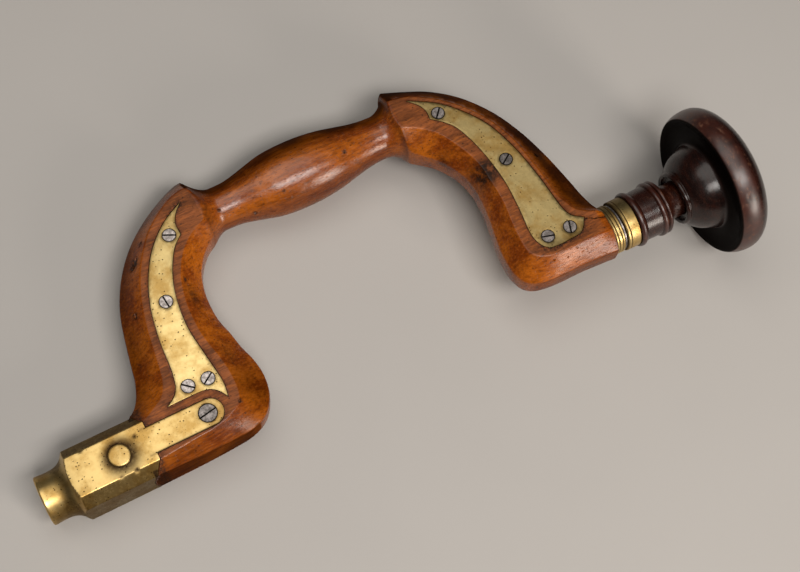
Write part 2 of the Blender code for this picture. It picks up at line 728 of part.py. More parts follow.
def build_nut(parts, cutters, root, steel):
    """The hexagonal nut at the end of the spindle."""
    nut = cylinder("spindle_nut", parts, root, (341.3, 0, 0), 7.5, 5.0, "x", 6)
    nut.data.materials.append(steel)
    boolean(nut, cylinder("nut_bore", cutters, root, (341.3, 0, 0), SPINDLE_RADIUS + GAP, 8.0, "x", 24))


def resting_normal():
    """The upward normal of the bench, from the three points of the brace that touch it."""
    chuck = Vector((15.3, FACET_HALF, -HALF_THICKNESS))
    collar = Vector((110.3, 99.6, -HALF_THICKNESS))
    up = Vector((0.0, 0.0, 1.0))
    for _ in range(8):
        low = Vector((0.0, up.y, up.z)).normalized() * -HEAD_RIM_RADIUS
        rim = Vector((HEAD_RIM_X, low.y, low.z))
        up = geometry.normal((chuck, rim, collar))
        if up.z < 0:
            up = -up
    return up


def lay_down(root):
    """Rests the brace on the bench and centres its box on the origin."""
    up = resting_normal()
    along = (Vector((1, 0, 0)) - up * up.x).normalized()
    aside = up.cross(along)
    turn = Matrix((along, aside, up)).to_4x4()
    root.matrix_basis = turn
    bpy.context.view_layer.update()
    graph = bpy.context.evaluated_depsgraph_get()
    corners = []
    for obj in bpy.data.collections["brace"].objects:
        if obj.type == "EMPTY":
            continue
        mesh = obj.evaluated_get(graph).to_mesh()
        corners += [obj.matrix_world @ vertex.co for vertex in mesh.vertices]
        obj.evaluated_get(graph).to_mesh_clear()
    low = Vector(min(p[axis] for p in corners) for axis in range(3))
    high = Vector(max(p[axis] for p in corners) for axis in range(3))
    middle = (low + high) / 2
    root.matrix_basis = Matrix.Translation((-middle.x, -middle.y, -low.z)) @ turn


def main():
    for obj in list(bpy.data.objects):
        bpy.data.objects.remove(obj)
    parts = bpy.data.collections.new("brace")
    cutters = bpy.data.collections.new("cutters")
    bpy.context.scene.collection.children.link(parts)
    bpy.context.scene.collection.children.link(cutters)
    cutters.hide_render = True
    root = bpy.data.objects.new("brace_frame", None)
    parts.objects.link(root)
    beech = material("beech", (0.42, 0.17, 0.05), 0.0, 0.35)
    brass = material("brass", (0.72, 0.53, 0.24), 1.0, 0.3)
    steel = material("steel", (0.42, 0.42, 0.43), 1.0, 0.38)
    rosewood = material("rosewood", (0.06, 0.02, 0.012), 0.0, 0.28)
    stock = build_stock(parts, cutters, root, beech)
    chuck = build_chuck(parts, cutters, root, brass)
    build_plates(stock, parts, cutters, root, brass)
    build_screws(stock, chuck, parts, cutters, root, steel)
    build_latch(parts, cutters, root, brass, steel)
    build_head(parts, cutters, root, brass, steel, rosewood)
    for obj in cutters.objects:
        obj.hide_render = True
        obj.display_type = "WIRE"
    lay_down(root)


if __name__ == "__main__":
    main()
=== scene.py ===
"""Looks for a plated carpenter's brace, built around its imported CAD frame.

The brace has a chamfered beech stock with a turned grip, a brass chuck with a push button and two
tangs, four inlaid brass plates, brass ferrules and a rosewood head that turns on a steel spindle.

Shapes are worked out in the brace's own millimetres: x runs along the spindle from the mouth of
the chuck to the head, y from the spindle to the grip and z out of the front face. `Bench` turns
them into the metres of the frame.
"""

import json
import logging
import math
from collections.abc import Mapping, Sequence
from dataclasses import dataclass, field
from enum import Enum
from typing import Any

import bmesh
import bpy
import numpy as np
from mathutils import Matrix, Vector
from mathutils.geometry import delaunay_2d_cdt


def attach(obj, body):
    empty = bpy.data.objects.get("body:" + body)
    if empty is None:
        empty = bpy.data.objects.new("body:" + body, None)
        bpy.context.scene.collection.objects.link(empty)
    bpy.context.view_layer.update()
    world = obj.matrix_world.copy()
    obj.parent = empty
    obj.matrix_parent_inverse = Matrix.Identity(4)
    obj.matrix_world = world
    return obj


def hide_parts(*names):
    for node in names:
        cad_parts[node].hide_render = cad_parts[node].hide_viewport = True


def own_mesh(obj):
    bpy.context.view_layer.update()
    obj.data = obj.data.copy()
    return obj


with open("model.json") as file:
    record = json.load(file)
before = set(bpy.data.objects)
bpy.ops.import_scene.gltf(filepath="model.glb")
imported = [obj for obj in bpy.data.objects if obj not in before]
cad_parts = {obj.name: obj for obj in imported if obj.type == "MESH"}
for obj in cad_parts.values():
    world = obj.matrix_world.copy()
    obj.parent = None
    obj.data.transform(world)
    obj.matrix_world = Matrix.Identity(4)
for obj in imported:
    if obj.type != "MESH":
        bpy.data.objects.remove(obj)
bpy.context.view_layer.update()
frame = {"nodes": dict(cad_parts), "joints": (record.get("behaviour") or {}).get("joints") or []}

LOG = logging.getLogger("brace")
Socket = bpy.types.NodeSocket
Spacing = float | Sequence[float]
Rows = Sequence[Sequence[float]]
Runs = Sequence[Sequence[tuple[float, float]]]
MM = 0.001
SMOOTH_UNDER = math.radians(32)

# Heights of the faces, and the brass let into them.
HALF_THICKNESS = 14.13
NECK_HALF_THICKNESS = 12.4
PLATE_THICK = 2.0
TANG_THICK = 2.6
GAP = 0.3

# The turned grip lies parallel to the spindle, between the webs.
GRIP_OFFSET = 89.4
GRIP_START = 113.8
GRIP_END = 215.2
STOCK_END = 277.2
HEAD_X = 338.0
BRACE_MIDDLE = (165.0, 30.0, 0.0)

# The chuck, its curved shoulder and its tangs.
SHOULDER_CENTRE = 65.0
SHOULDER_RADIUS = 20.0
SHOULDER_END = 51.05
TANG_HALF = 6.07
TANG_ROUND_X = 78.1
TANG_SCREW_X = 77.2
BUTTON_X = 36.4
BUTTON_RADIUS = 4.95
PIVOT_X = 29.0
PIVOT_Z = 8.2

SCREW_HEAD = 6.1
SCREW_LENGTH = 9.0
TANG_SCREW_HEAD = 8.2
TANG_SCREW_LENGTH = 11.0
SPINDLE_RADIUS = 4.0

# Stations of the two webs. Each row: the outer side (x, y), the inner side (x, y), the width of
# the outer chamfer, the width of the inner chamfer, half the height of the side facets.
LOWER_WEB = [
    (43.5, 14.1, 43.5, -14.1, 5.0, 5.0, 9.1), (47.0, 14.9, 52.0, -14.1, 5.3, 5.0, 8.9),
    (50.3, 17.6, 62.0, -14.1, 8.0, 6.0, 8.4), (52.8, 21.5, 72.0, -14.1, 10.3, 7.2, 7.6),
    (54.6, 26.0, 82.0, -13.8, 13.3, 8.2, 6.8), (55.9, 30.5, 92.0, -12.9, 14.5, 10.5, 6.0),
    (56.9, 36.0, 100.3, -9.0, 14.3, 12.0, 5.4), (57.9, 41.0, 105.2, -1.5, 13.3, 15.6, 5.0),
    (58.9, 46.0, 106.9, 7.0, 12.6, 18.0, 4.8), (60.0, 51.0, 106.0, 15.5, 12.0, 18.8, 4.8),
    (61.3, 56.5, 103.7, 23.2, 11.8, 17.5, 4.8), (63.0, 62.0, 102.2, 31.0, 11.4, 15.8, 4.8),
    (65.3, 67.5, 100.3, 38.5, 10.8, 13.3, 4.8), (68.4, 73.5, 99.8, 46.0, 10.1, 11.5, 4.8),
    (72.5, 79.8, 100.5, 54.5, 9.2, 9.8, 4.8), (77.6, 86.0, 102.6, 61.8, 8.3, 8.5, 4.9),
    (84.0, 92.0, 105.6, 67.0, 7.0, 8.0, 5.0), (92.0, 97.8, 109.0, 71.2, 6.3, 7.3, 5.2),
    (101.5, 103.0, 111.8, 73.6, 5.8, 6.6, 5.6), (109.0, 106.0, 113.5, 74.8, 6.5, 6.6, 6.0),
    (113.6, 106.6, 115.0, 75.6, 7.4, 6.8, 6.4),
]
UPPER_WEB = [
    (216.2, 106.8, 214.5, 73.5, 8.6, 9.9, 6.4), (226.0, 103.3, 218.4, 69.9, 7.2, 10.5, 5.6),
    (237.5, 98.2, 224.5, 64.0, 8.5, 10.0, 5.0), (249.3, 89.0, 230.0, 55.0, 9.5, 8.2, 4.8),
    (259.5, 75.5, 232.4, 46.0, 9.5, 7.6, 4.8), (266.2, 61.0, 232.5, 38.0, 10.0, 7.0, 4.8),
    (270.6, 46.5, 231.3, 28.0, 11.5, 8.0, 4.8), (273.2, 34.5, 229.3, 18.0, 12.5, 8.5, 4.8),
    (274.6, 27.0, 228.0, 8.5, 13.5, 9.0, 4.8), (275.4, 22.0, 228.6, -1.5, 12.5, 9.3, 4.8),
    (275.9, 19.2, 233.0, -8.3, 12.0, 11.5, 5.0), (276.3, 17.2, 243.0, -10.9, 10.5, 11.5, 5.2),
    (276.7, 15.2, 260.0, -11.1, 8.5, 8.9, 5.4), (277.0, 13.6, 270.5, -11.7, 7.0, 8.3, 5.4),
    (277.2, 12.4, 277.2, -12.2, 6.6, 8.4, 5.2),
]
GRIP_RADII = [
    (122.6, 10.35), (130.0, 10.5), (137.0, 11.9), (143.5, 13.6), (150.0, 15.1), (157.0, 15.8),
    (165.0, 15.95), (172.0, 15.6), (180.0, 14.6), (188.0, 12.9), (195.0, 11.4), (201.0, 10.6),
    (206.4, 10.4),
]
# The coves that end the grip: (x, radius about the grip's axis). Past the reach nothing is cut.
COVE_REACH = 30.0
LOWER_COVE = [
    (100.0, 90.0), (110.5, 32.0), (111.6, 22.0), (112.3, 19.2), (113.0, 17.7), (113.9, 16.3),
    (115.0, 15.1), (116.2, 13.9), (117.5, 12.8), (118.9, 11.8), (120.4, 11.0), (121.6, 10.55),
    (122.6, 10.36), (160.0, 90.0),
]
UPPER_COVE = [
    (160.0, 90.0), (206.4, 10.41), (207.6, 10.6), (208.9, 11.05), (210.2, 11.65), (211.4, 12.4),
    (212.5, 13.3), (213.4, 14.3), (214.2, 15.8), (214.8, 17.2), (215.6, 19.2), (216.4, 22.0),
    (217.6, 32.0), (230.0, 90.0),
]

# Plate outlines: runs of points between sharp corners.
LOWER_PLATE = [
    [(107.8, 94.2), (97.4, 88.5), (87.1, 78.6), (79.8, 66.4), (75.0, 53.1), (72.4, 38.0),
     (71.3, 23.4), (68.9, 14.6), (63.3, 10.1)],
    [(63.3, 10.1), (77.6, 10.1), (82.4, 9.2), (85.7, 6.6), (88.0, 2.9)],
    [(88.0, 2.9), (88.9, 10.0), (87.4, 23.0), (85.8, 38.4), (87.0, 52.3), (90.2, 63.8),
     (95.7, 74.3), (101.5, 80.0)],
    [(101.5, 80.0), (101.6, 86.0), (104.2, 90.7), (107.8, 94.2)],
]
UPPER_PLATE = [
    [(222.7, 94.5), (226.9, 90.0), (228.6, 85.6), (228.3, 81.4)],
    [(228.3, 81.4), (233.7, 76.7), (238.1, 70.2), (242.0, 56.5), (244.0, 40.0), (243.4, 24.8),
     (241.9, 11.3), (242.8, 5.0), (245.6, 1.2), (249.6, 0.1), (257.0, 0.2), (263.5, 1.3),
     (267.7, 6.7)],
    [(267.7, 6.7), (262.8, 10.4), (260.8, 16.5), (259.3, 32.5), (256.6, 50.0), (251.2, 67.0),
     (242.5, 79.8), (234.0, 87.9), (222.7, 94.5)],
]
# Screws: x, y and the turn of the slot in degrees.
LOWER_SCREWS = [(96.7, 81.8, 154), (82.4, 53.8, 94), (74.7, 14.6, 139), (83.8, 14.0, 34)]
UPPER_SCREWS = [(233.1, 82.5, 49), (250.0, 47.9, 34), (248.3, 5.9, 164), (259.6, 5.5, 72)]

WEBS = {"lower": (LOWER_PLATE, LOWER_SCREWS), "upper": (UPPER_PLATE, UPPER_SCREWS)}

# Turned profiles: x along the spindle and radius.
CHUCK_TURNING = [
    (0.0, 10.5), (0.4, 11.04), (1.2, 11.15), (4.0, 10.9), (7.6, 10.95), (10.2, 11.5),
    (12.2, 12.6), (13.6, 14.1), (15.1, 16.8), (17.0, 19.0), (19.0, 24.0), (90.0, 60.0),
]
NECK_TURNING = [
    (284.2, 9.8), (290.5, 9.8), (290.5, 12.6), (291.2, 13.2), (292.4, 13.35), (293.6, 12.6),
    (294.2, 11.95), (302.0, 12.2), (302.7, 13.1), (303.7, 13.3), (304.7, 12.9), (305.15, 12.3),
    (305.6, 12.9), (306.4, 13.1), (307.3, 12.4), (307.9, 10.6), (309.0, 9.0), (311.0, 8.4),
    (319.0, 8.4),
]
HEAD_TURNING = [
    (317.0, 10.6), (315.2, 11.2), (315.2, 12.4), (316.2, 13.0), (317.2, 12.9), (318.0, 14.0),
    (320.2, 16.2), (323.6, 18.5), (327.4, 20.1), (330.3, 21.2), (331.7, 23.2), (332.2, 26.2),
    (331.7, 29.6), (330.6, 32.2), (330.3, 33.6), (331.8, 34.7), (334.6, 35.6), (338.0, 35.9),
    (341.2, 35.3), (344.0, 33.3), (346.3, 30.0), (348.0, 25.0), (349.3, 18.0), (350.0, 11.0),
]

# The button's stem below its dome: height and radius.
BUTTON_STEM = [
    (11.6, BUTTON_RADIUS), (11.6, 2.1), (9.2, 2.1), (9.2, 1.2), (6.1, 1.2), (6.1, 2.0), (5.1, 2.0),
    (5.1, 0.0),
]

# Knocks on turned surfaces: x, angle in degrees, depth, half widths in millimetres and degrees.
CHUCK_KNOCKS = (
    (45.3, 19.1, 0.45, 0.7, 2.6), (40.4, -33.4, 0.5, 0.8, 3.0), (22.5, 33.0, 0.25, 1.0, 2.0),
    (33.5, -32.6, 0.22, 1.2, 2.0), (2.0, 140.0, 0.25, 0.8, 6.0), (1.2, -60.0, 0.18, 0.7, 7.0),
    (27.0, 213.0, 0.3, 1.0, 2.5), (30.0, 100.0, 0.12, 0.9, 3.0),
)
HEAD_KNOCKS = (
    (337.0, 74.0, 0.3, 0.6, 1.2), (334.5, 128.0, 0.3, 0.7, 1.3), (340.0, 100.0, 0.15, 0.8, 1.5),
    (339.0, -30.0, 0.4, 1.0, 2.0), (341.0, -110.0, 0.35, 1.2, 2.4), (336.0, 200.0, 0.4, 1.0, 2.0),
)
# Nicks in the stock: centre x, y and z, half lengths along x, y and z, turn about z in degrees.
NICKS = (
    (76.6, 78.2, 11.8, 3.4, 1.2, 1.2, 52), (74.9, 75.9, 11.5, 1.7, 0.9, 1.0, 30),
    (68.3, 54.6, 11.5, 1.9, 1.0, 1.0, 80), (135.6, 74.9, 5.2, 1.4, 0.8, 0.9, 10),
    (122.2, 84.8, 9.6, 1.1, 0.5, 0.8, -20), (93.9, 57.2, 12.0, 0.6, 0.6, 0.8, 0),
    (94.4, 59.8, 12.2, 1.1, 0.4, 0.8, 70), (91.9, -1.0, 14.1, 1.1, 0.5, 0.6, 60),
    (267.4, 45.5, 12.6, 1.5, 0.55, 1.1, 100), (245.6, -5.6, 13.3, 0.6, 0.5, 0.8, 0),
    (252.6, -7.0, 12.4, 0.45, 0.45, 0.7, 0), (258.0, -5.6, 13.4, 0.4, 0.4, 0.6, 0),
    (83.0, 84.6, 13.2, 1.7, 0.3, 0.7, 45), (60.9, 33.9, 9.2, 0.8, 0.5, 0.8, 20),
    (152.0, 79.2, 12.6, 0.8, 0.4, 0.6, 35), (186.0, 84.8, 12.4, 1.1, 0.35, 0.6, 75),
)
# A hairline crack in the front face: x and y.
CRACK = ((267.6, 5.6), (269.5, 5.3), (271.5, 3.9), (273.6, 3.6), (275.6, 3.1), (278.0, 3.3))
# Dark stains of the front face, and those of its chamfers: x, y, half widths, strength.
STAINS = ((239.0, 46.0, 6.0, 6.0, 1.5), (266.8, 46.0, 2.4, 5.5, 0.8), (226.0, 62.0, 3.0, 4.0, 0.6))
CHAMFER_STAINS = ((94.6, 52.0, 2.4, 6.0, 0.7), (97.0, 20.0, 2.4, 7.0, 0.5))
# Dirt at the foot of the upper plate and the tip of the lower one, in the same form.
PLATE_DIRT = ((252.0, 1.0, 12.0, 3.5, 0.9), (105.0, 93.0, 6.0, 3.0, 0.5))

# The camera in the brace's own millimetres: where it stands, and its right, down and forward.
CAMERA_AT = (36.60, -176.41, 627.09)
CAMERA_RIGHT = (0.88299, -0.46611, 0.05746)
CAMERA_DOWN = (-0.41804, -0.83583, -0.35615)
CAMERA_FORWARD = (0.21403, 0.29045, -0.93266)
CAMERA_FOCAL_SHARE = 1486.8 / 800.0


class Face(Enum):
    """The two flat faces of the stock."""

    FRONT = 1
    BACK = -1


class Cut(Enum):
    """What a tool leaves of the blank."""

    AWAY = "DIFFERENCE"
    KEEP = "INTERSECT"


class Body(Enum):
    """The bodies of the frame that pieces ride on."""

    BRACE = "brace"
    HEAD = "turning_head"
    BUTTON = "button"


def joint_of(name: str) -> Mapping[str, Any]:
    """The frame's joint of that name."""
    return next(joint for joint in frame["joints"] if joint["name"] == name)


class Bench:
    """Where the brace lies on its bench: it turns the brace's millimetres into the frame's metres."""

    def __init__(self) -> None:
        """Reads the axes from the joints: the head turns about x, the button sinks against z."""
        spin = joint_of("head_spin")
        along = np.array(spin["axis"], float)
        out = -np.array(joint_of("button_press")["axis"], float)
        out -= along * (out @ along)
        along, out = along / np.linalg.norm(along), out / np.linalg.norm(out)
        self.turn = np.stack([along, np.cross(out, along), out], axis=1)
        self.origin = np.array(spin["pos_m"]) - self.turn @ np.array([HEAD_X * MM, 0.0, 0.0])

    def place(self, points: np.ndarray) -> np.ndarray:
        """Points in the frame's metres, from the brace's millimetres."""
        return points * MM @ self.turn.T + self.origin

    def unplace(self, points: np.ndarray) -> np.ndarray:
        """Points in the brace's millimetres, from the frame's metres."""
        return (points - self.origin) @ self.turn / MM

    def direction(self, way: Sequence[float]) -> Vector:
        """A direction of the brace, in the frame."""
        return Vector(self.turn @ np.array(way, float))


BENCH = Bench()


# ---------------------------------------------------------------- shapes


def curve_through(rows: Rows, steps: int) -> np.ndarray:
    """Points on a Catmull-Rom curve, the cubic that passes through its rows with each tangent
    parallel to the chord between the rows on either side.

    Args:
        rows: the points it passes through, of any number of columns.
        steps: points to a span.

    Returns:
        An array of (spans * steps + 1) rows.
    """
    knots = np.array(rows, float)
    padded = np.concatenate([knots[:1], knots, knots[-1:]])
    a, b, c, d = (padded[i : len(padded) - 3 + i, None, :] for i in range(4))
    t = (np.arange(steps) / steps)[None, :, None]
    square, cube = 2 * a - 5 * b + 4 * c - d, 3 * b - a - 3 * c + d
    spans = 0.5 * (2 * b + (c - a) * t + square * t**2 + cube * t**3)
    return np.concatenate([spans.reshape(-1, knots.shape[1]), knots[-1:]])


def outline_of(runs: Runs, steps: int) -> np.ndarray:
    """One closed outline from runs that meet at sharp corners, each run smoothed on its own."""
    return np.concatenate([curve_through(run, steps)[:-1] for run in runs])


def widened(outline: np.ndarray, by: float) -> np.ndarray:
    """The outline moved outwards by a distance: each point goes along the mean of the normals of
    its two edges, lengthened by one over the cosine between them, at most twice."""
    before, after = outline - np.roll(outline, 1, axis=0), np.roll(outline, -1, axis=0) - outline
    (x, y), (next_x, next_y) = outline.T, np.roll(outline, -1, axis=0).T
    side = 1.0 if np.sum(x * next_y - y * next_x) > 0 else -1.0
    normals = [np.stack([edge[:, 1], -edge[:, 0]], 1) * side for edge in (before, after)]
    normals = [n / np.linalg.norm(n, axis=1, keepdims=True) for n in normals]
    middle = normals[0] + normals[1]
    middle /= np.linalg.norm(middle, axis=1, keepdims=True)
    lean = np.maximum(np.sum(middle * normals[0], axis=1, keepdims=True), 0.5)
    return outline + middle * by / lean


def arc(centre: Sequence[float], radius: float, start: float, end: float, steps: int) -> np.ndarray:
    """Points of an arc in a plane, from one angle to another in degrees."""
    angle = np.radians(np.linspace(start, end, steps + 1))
    return np.stack([centre[0] + radius * np.cos(angle), centre[1] + radius * np.sin(angle)], 1)


def inside(points: np.ndarray, outline: np.ndarray) -> np.ndarray:
    """Which points lie inside a closed outline, by the count of edges that a ray crosses."""
    x, y = points[:, 0:1], points[:, 1:2]
    x0, y0 = outline[:, 0], outline[:, 1]
    x1, y1 = np.roll(x0, -1), np.roll(y0, -1)
    rise = np.where(np.abs(y1 - y0) < 1e-12, 1e-12, y1 - y0)
    crosses = ((y0 > y) != (y1 > y)) & (x < (x1 - x0) * (y - y0) / rise + x0)
    return crosses.sum(axis=1) % 2 == 1


def distance_to(points: np.ndarray, line: np.ndarray, closed: bool = True) -> np.ndarray:
    """Distance in a plane from each point to a line of straight edges."""
    ends = np.roll(line, -1, axis=0) if closed else line[1:]
    starts = line if closed else line[:-1]
    best = np.full(len(points), np.inf)
    for start, end in zip(starts, ends):
        edge = end - start
        share = np.clip((points - start) @ edge / max(edge @ edge, 1e-12), 0.0, 1.0)
        best = np.minimum(best, np.linalg.norm(points - start - share[:, None] * edge, axis=1))
    return best


def ramp(values: np.ndarray, low: float, high: float) -> np.ndarray:
    """A smooth step from 0 at `low` to 1 at `high`."""
    share = np.clip((values - low) / (high - low), 0.0, 1.0)
    return share * share * (3.0 - 2.0 * share)


def bell(values: np.ndarray, middle: float, width: float) -> np.ndarray:
    """A bell curve: e to the power of minus the square of the distance from the middle over the width."""
    return np.exp(-(((values - middle) / width) ** 2))


def fade(distance: np.ndarray, length: float) -> np.ndarray:
    """Decay from 1 at no distance: e to the power of minus the distance over the length."""
    return np.exp(-np.maximum(distance, 0.0) / length)


def patches(x: np.ndarray, y: np.ndarray, rows: Rows) -> np.ndarray:
    """The sum of soft spots, each a bell curve in x times one in y, times its strength."""
    return sum(strength * bell(x, at, long) * bell(y, up, wide) for at, up, long, wide, strength in rows)


def knocks(x: np.ndarray, angle: np.ndarray, rows: Rows) -> np.ndarray:
    """Depth of knocks on a turned surface, each a bell curve in x times one in angle."""
    depth = np.zeros(np.broadcast(x, angle).shape)
    for at, degrees, deep, long, wide in rows:
        apart = (angle - math.radians(degrees) + np.pi) % (2 * np.pi) - np.pi
        depth += deep * bell(x, at, long) * bell(apart, 0.0, math.radians(wide))
    return depth


def spun(degrees: float) -> np.ndarray:
    """The matrix of a turn about z."""
    cos, sin = math.cos(math.radians(degrees)), math.sin(math.radians(degrees))
    return np.array([[cos, -sin, 0], [sin, cos, 0], [0, 0, 1]])


def at_height(flat: np.ndarray, height: float) -> np.ndarray:
    """Points of a plane, at one height."""
    return np.column_stack([flat, np.full(len(flat), height)])


class Shell:
    """A closed surface in the brace's millimetres, gathered from grids and caps."""

    def __init__(self) -> None:
        """Starts with no points."""
        self.blocks: list[np.ndarray] = []
        self.faces: list[list[int]] = []
        self.count = 0

    def add(self, points: np.ndarray) -> np.ndarray:
        """Adds points of any grid shape and returns their numbers in the same shape."""
        flat = points.reshape(-1, 3)
        numbers = np.arange(self.count, self.count + len(flat)).reshape(points.shape[:-1])
        self.blocks.append(flat)
        self.count += len(flat)
        return numbers

    def skin(self, numbers: np.ndarray) -> None:
        """Lays four-sided faces over a grid of numbers that closes on itself across its rows."""
        beside = np.roll(numbers, -1, axis=1)
        quads = np.stack([numbers[:-1], beside[:-1], beside[1:], numbers[1:]], axis=-1)
        self.faces += quads.reshape(-1, 4).tolist()

    def tube(self, grid: np.ndarray) -> "Shell":
        """Adds a grid of rings, skins it, closes both ends with a face and returns itself."""
        numbers = self.add(grid)
        self.skin(numbers)
        self.faces += [numbers[0].tolist(), numbers[-1].tolist()]
        return self

    def join(self, other: "Shell") -> "Shell":
        """Takes in another shell that doesn't touch this one, and returns itself."""
        shift = self.count
        self.add(other.points())
        self.faces += [[number + shift for number in face] for face in other.faces]
        return self

    def points(self) -> np.ndarray:
        """All points so far."""
        return np.concatenate(self.blocks)

    def turned(self, turn: np.ndarray, shift: Sequence[float]) -> "Shell":
        """The same shell with its points multiplied by a matrix and shifted."""
        moved = Shell()
        moved.add(self.points() @ turn.T + np.array(shift, float))
        moved.faces = self.faces
        return moved


def lathe(profile: np.ndarray, segments: int, closed: bool = False) -> Shell:
    """A profile of (x, radius) swept round the spindle: (x, r cos a, r sin a).

    Args:
        profile: rows of position along the axis and radius.
        segments: steps in the full turn.
        closed: whether the profile is a loop, as for a ring. Otherwise it ends on the axis.

    Returns:
        The closed shell.
    """
    rows = np.concatenate([profile, profile[:1]]) if closed else profile
    angle = 2 * np.pi * np.arange(segments) / segments
    x, radius = rows[:, 0:1], rows[:, 1:2]
    shell = Shell()
    grid = np.stack([x + 0 * angle, radius * np.cos(angle), radius * np.sin(angle)], axis=-1)
    shell.skin(shell.add(grid))
    return shell


def upright(shell: Shell, at: Sequence[float], face: Face = Face.FRONT) -> Shell:
    """A lathed shell stood on a face of the brace, with its own x pointing out of that face."""
    out = float(face.value)
    turn = np.array([[0.0, 1.0, 0.0], [0.0, 0.0, out], [out, 0.0, 0.0]])
    return shell.turned(turn, at)


def prism(outline: np.ndarray, low: float, high: float, from_side: bool = False) -> Shell:
    """A flat outline made solid between two heights: two copies of it, joined by walls.

    Args:
        outline: closed outline, in x and y or, seen from the side, in x and z.
        low: one end along the third axis.
        high: the other end.
        from_side: whether the outline is in x and z.

    Returns:
        The closed shell.
    """
    levels = np.array([low, high])[:, None] + 0 * outline[:, 0]
    x, other = (np.broadcast_to(outline[:, i], levels.shape) for i in (0, 1))
    return Shell().tube(np.stack([x, levels, other] if from_side else [x, other, levels], axis=-1))


def rod(start: float, end: float, radius: float, segments: int) -> Shell:
    """A plain cylinder along the spindle, for cutting with."""
    return lathe(np.array([(start, 0.0), (start, radius), (end, radius), (end, 0.0)]), segments)


def pocket(outline: np.ndarray, face: Face, thick: float, above: float) -> Shell:
    """The cutter for a recess in a face that takes in a plate so thick and the gap under it."""
    levels = (HALF_THICKNESS - thick - GAP, HALF_THICKNESS + above)
    return prism(outline, *sorted(face.value * level for level in levels))


def screw_shape(head: float, length: float, grown: float = 0.0) -> np.ndarray:
    """Profile of a wood screw below its flat head, as (height, radius) from tip to head."""
    half, shank = head / 2, head / 4
    top = 3.0 if grown else 0.0
    return np.array([
        (-length - grown, 0.0),
        (-length - grown, 0.3),
        (-0.7 - half + shank, shank + grown),
        (-0.7, half + grown),
        (top, half + grown),
        (top, 0.0),
    ])


def tang_outline(extra: float) -> np.ndarray:
    """The tang seen from the front, from inside the chuck to its rounded end."""
    half = TANG_HALF + extra
    end = arc((TANG_ROUND_X, 0.0), half, -90, 90, 40)
    return np.concatenate([[(40.0, -half)], end, [(40.0, half)]])


def shoulder_outline(radius: float, half_height: float, reach: float) -> np.ndarray:
    """The curved shoulder seen from the side: everything from the shoulder to `reach`."""
    limit = math.degrees(math.asin(min(half_height, radius * 0.9) / radius))
    line = arc((SHOULDER_CENTRE, 0.0), radius, 180 - limit, 180 + limit, 40)
    return np.concatenate([line, [(reach, line[-1, 1]), (reach, line[0, 1])]])


def lattice_in(outline: np.ndarray, spacing: float, clear: float) -> np.ndarray:
    """Points of a triangular lattice inside an outline, kept clear of its edge."""
    low, high = outline.min(0), outline.max(0)
    x = np.arange(low[0], high[0], spacing)
    y = np.arange(low[1], high[1], spacing * 0.866)
    grid_x, grid_y = np.meshgrid(x, y)
    grid_x[1::2] += spacing / 2
    points = np.stack([grid_x.ravel(), grid_y.ravel()], 1)
    points = points[inside(points, outline)]
    return points[distance_to(points, outline) > clear]


def sheet_with_holes(outline: np.ndarray, holes: Sequence[np.ndarray], thick: float, ease: float,
                     spacing: float) -> Shell:
    """A flat sheet with eased upper edges, its top at height 0 and its underside at -thick.

    The underside is a triangulation of the outline, the holes and a lattice of points between
    them. The top repeats it with every edge moved in by the ease, and two rows of points join them.

    Args:
        outline: closed outer edge of the full sheet.
        holes: closed edges of the holes, at their full size.
        thick: thickness of the sheet.
        ease: width of the rounding on the upper edges.
        spacing: distance between points of the lattice.

    Returns:
        The closed shell, in x, y and z.
    """
    loops = [outline, *holes]
    tops = [widened(outline, -ease), *(widened(hole, ease) for hole in holes)]
    fill = lattice_in(outline, spacing, spacing * 0.45)
    for hole in holes:
        fill = fill[~inside(fill, widened(hole, spacing * 0.45))]
    edges, spans = [], []
    for loop in loops:
        start, count = len(edges), len(loop)
        spans.append(slice(start, start + count))
        edges += [(start + i, start + (i + 1) % count) for i in range(count)]
    found = delaunay_2d_cdt([Vector(p) for p in np.concatenate([*loops, fill])], edges, [], 1, 1e-7)
    faces = np.array([face for face in found[2] if len(face) == 3])
    points = np.array([tuple(p) for p in found[0]])
    middle = points[faces].mean(axis=1)
    kept = inside(middle, outline)
    for hole in holes:
        kept &= ~inside(middle, hole)
    faces = faces[kept]
    eased = points.copy()
    eased[: len(edges)] = np.concatenate(tops)
    shell = Shell()
    upper, lower = shell.add(at_height(eased, 0.0)), shell.add(at_height(points, -thick))
    shell.faces += upper[faces].tolist() + lower[faces[:, ::-1]].tolist()
    for full, top, span in zip(loops, tops, spans):
        half = shell.add(at_height(full * 0.7 + top * 0.3, -0.3 * ease))
        shell.skin(np.stack([upper[span], half, shell.add(at_height(full, -ease)), lower[span]]))
    return shell


# ---------------------------------------------------------------- pieces


def object_of(name: str, shell: Shell) -> bpy.types.Object:
    """A mesh object in the frame's metres, with seams and poles closed and faces outwards."""
    mesh = bpy.data.meshes.new(name)
    mesh.from_pydata(BENCH.place(shell.points()).tolist(), [], shell.faces)
    body = bmesh.new()
    body.from_mesh(mesh)
    bmesh.ops.remove_doubles(body, verts=body.verts, dist=1e-7)
    bmesh.ops.recalc_face_normals(body, faces=body.faces)
    body.to_mesh(mesh)
    body.free()
    return placed(name, mesh)


def placed(name: str, data: bpy.types.ID) -> bpy.types.Object:
    """A new object in the scene."""
    obj = bpy.data.objects.new(name, data)
    bpy.context.scene.collection.objects.link(obj)
    return obj


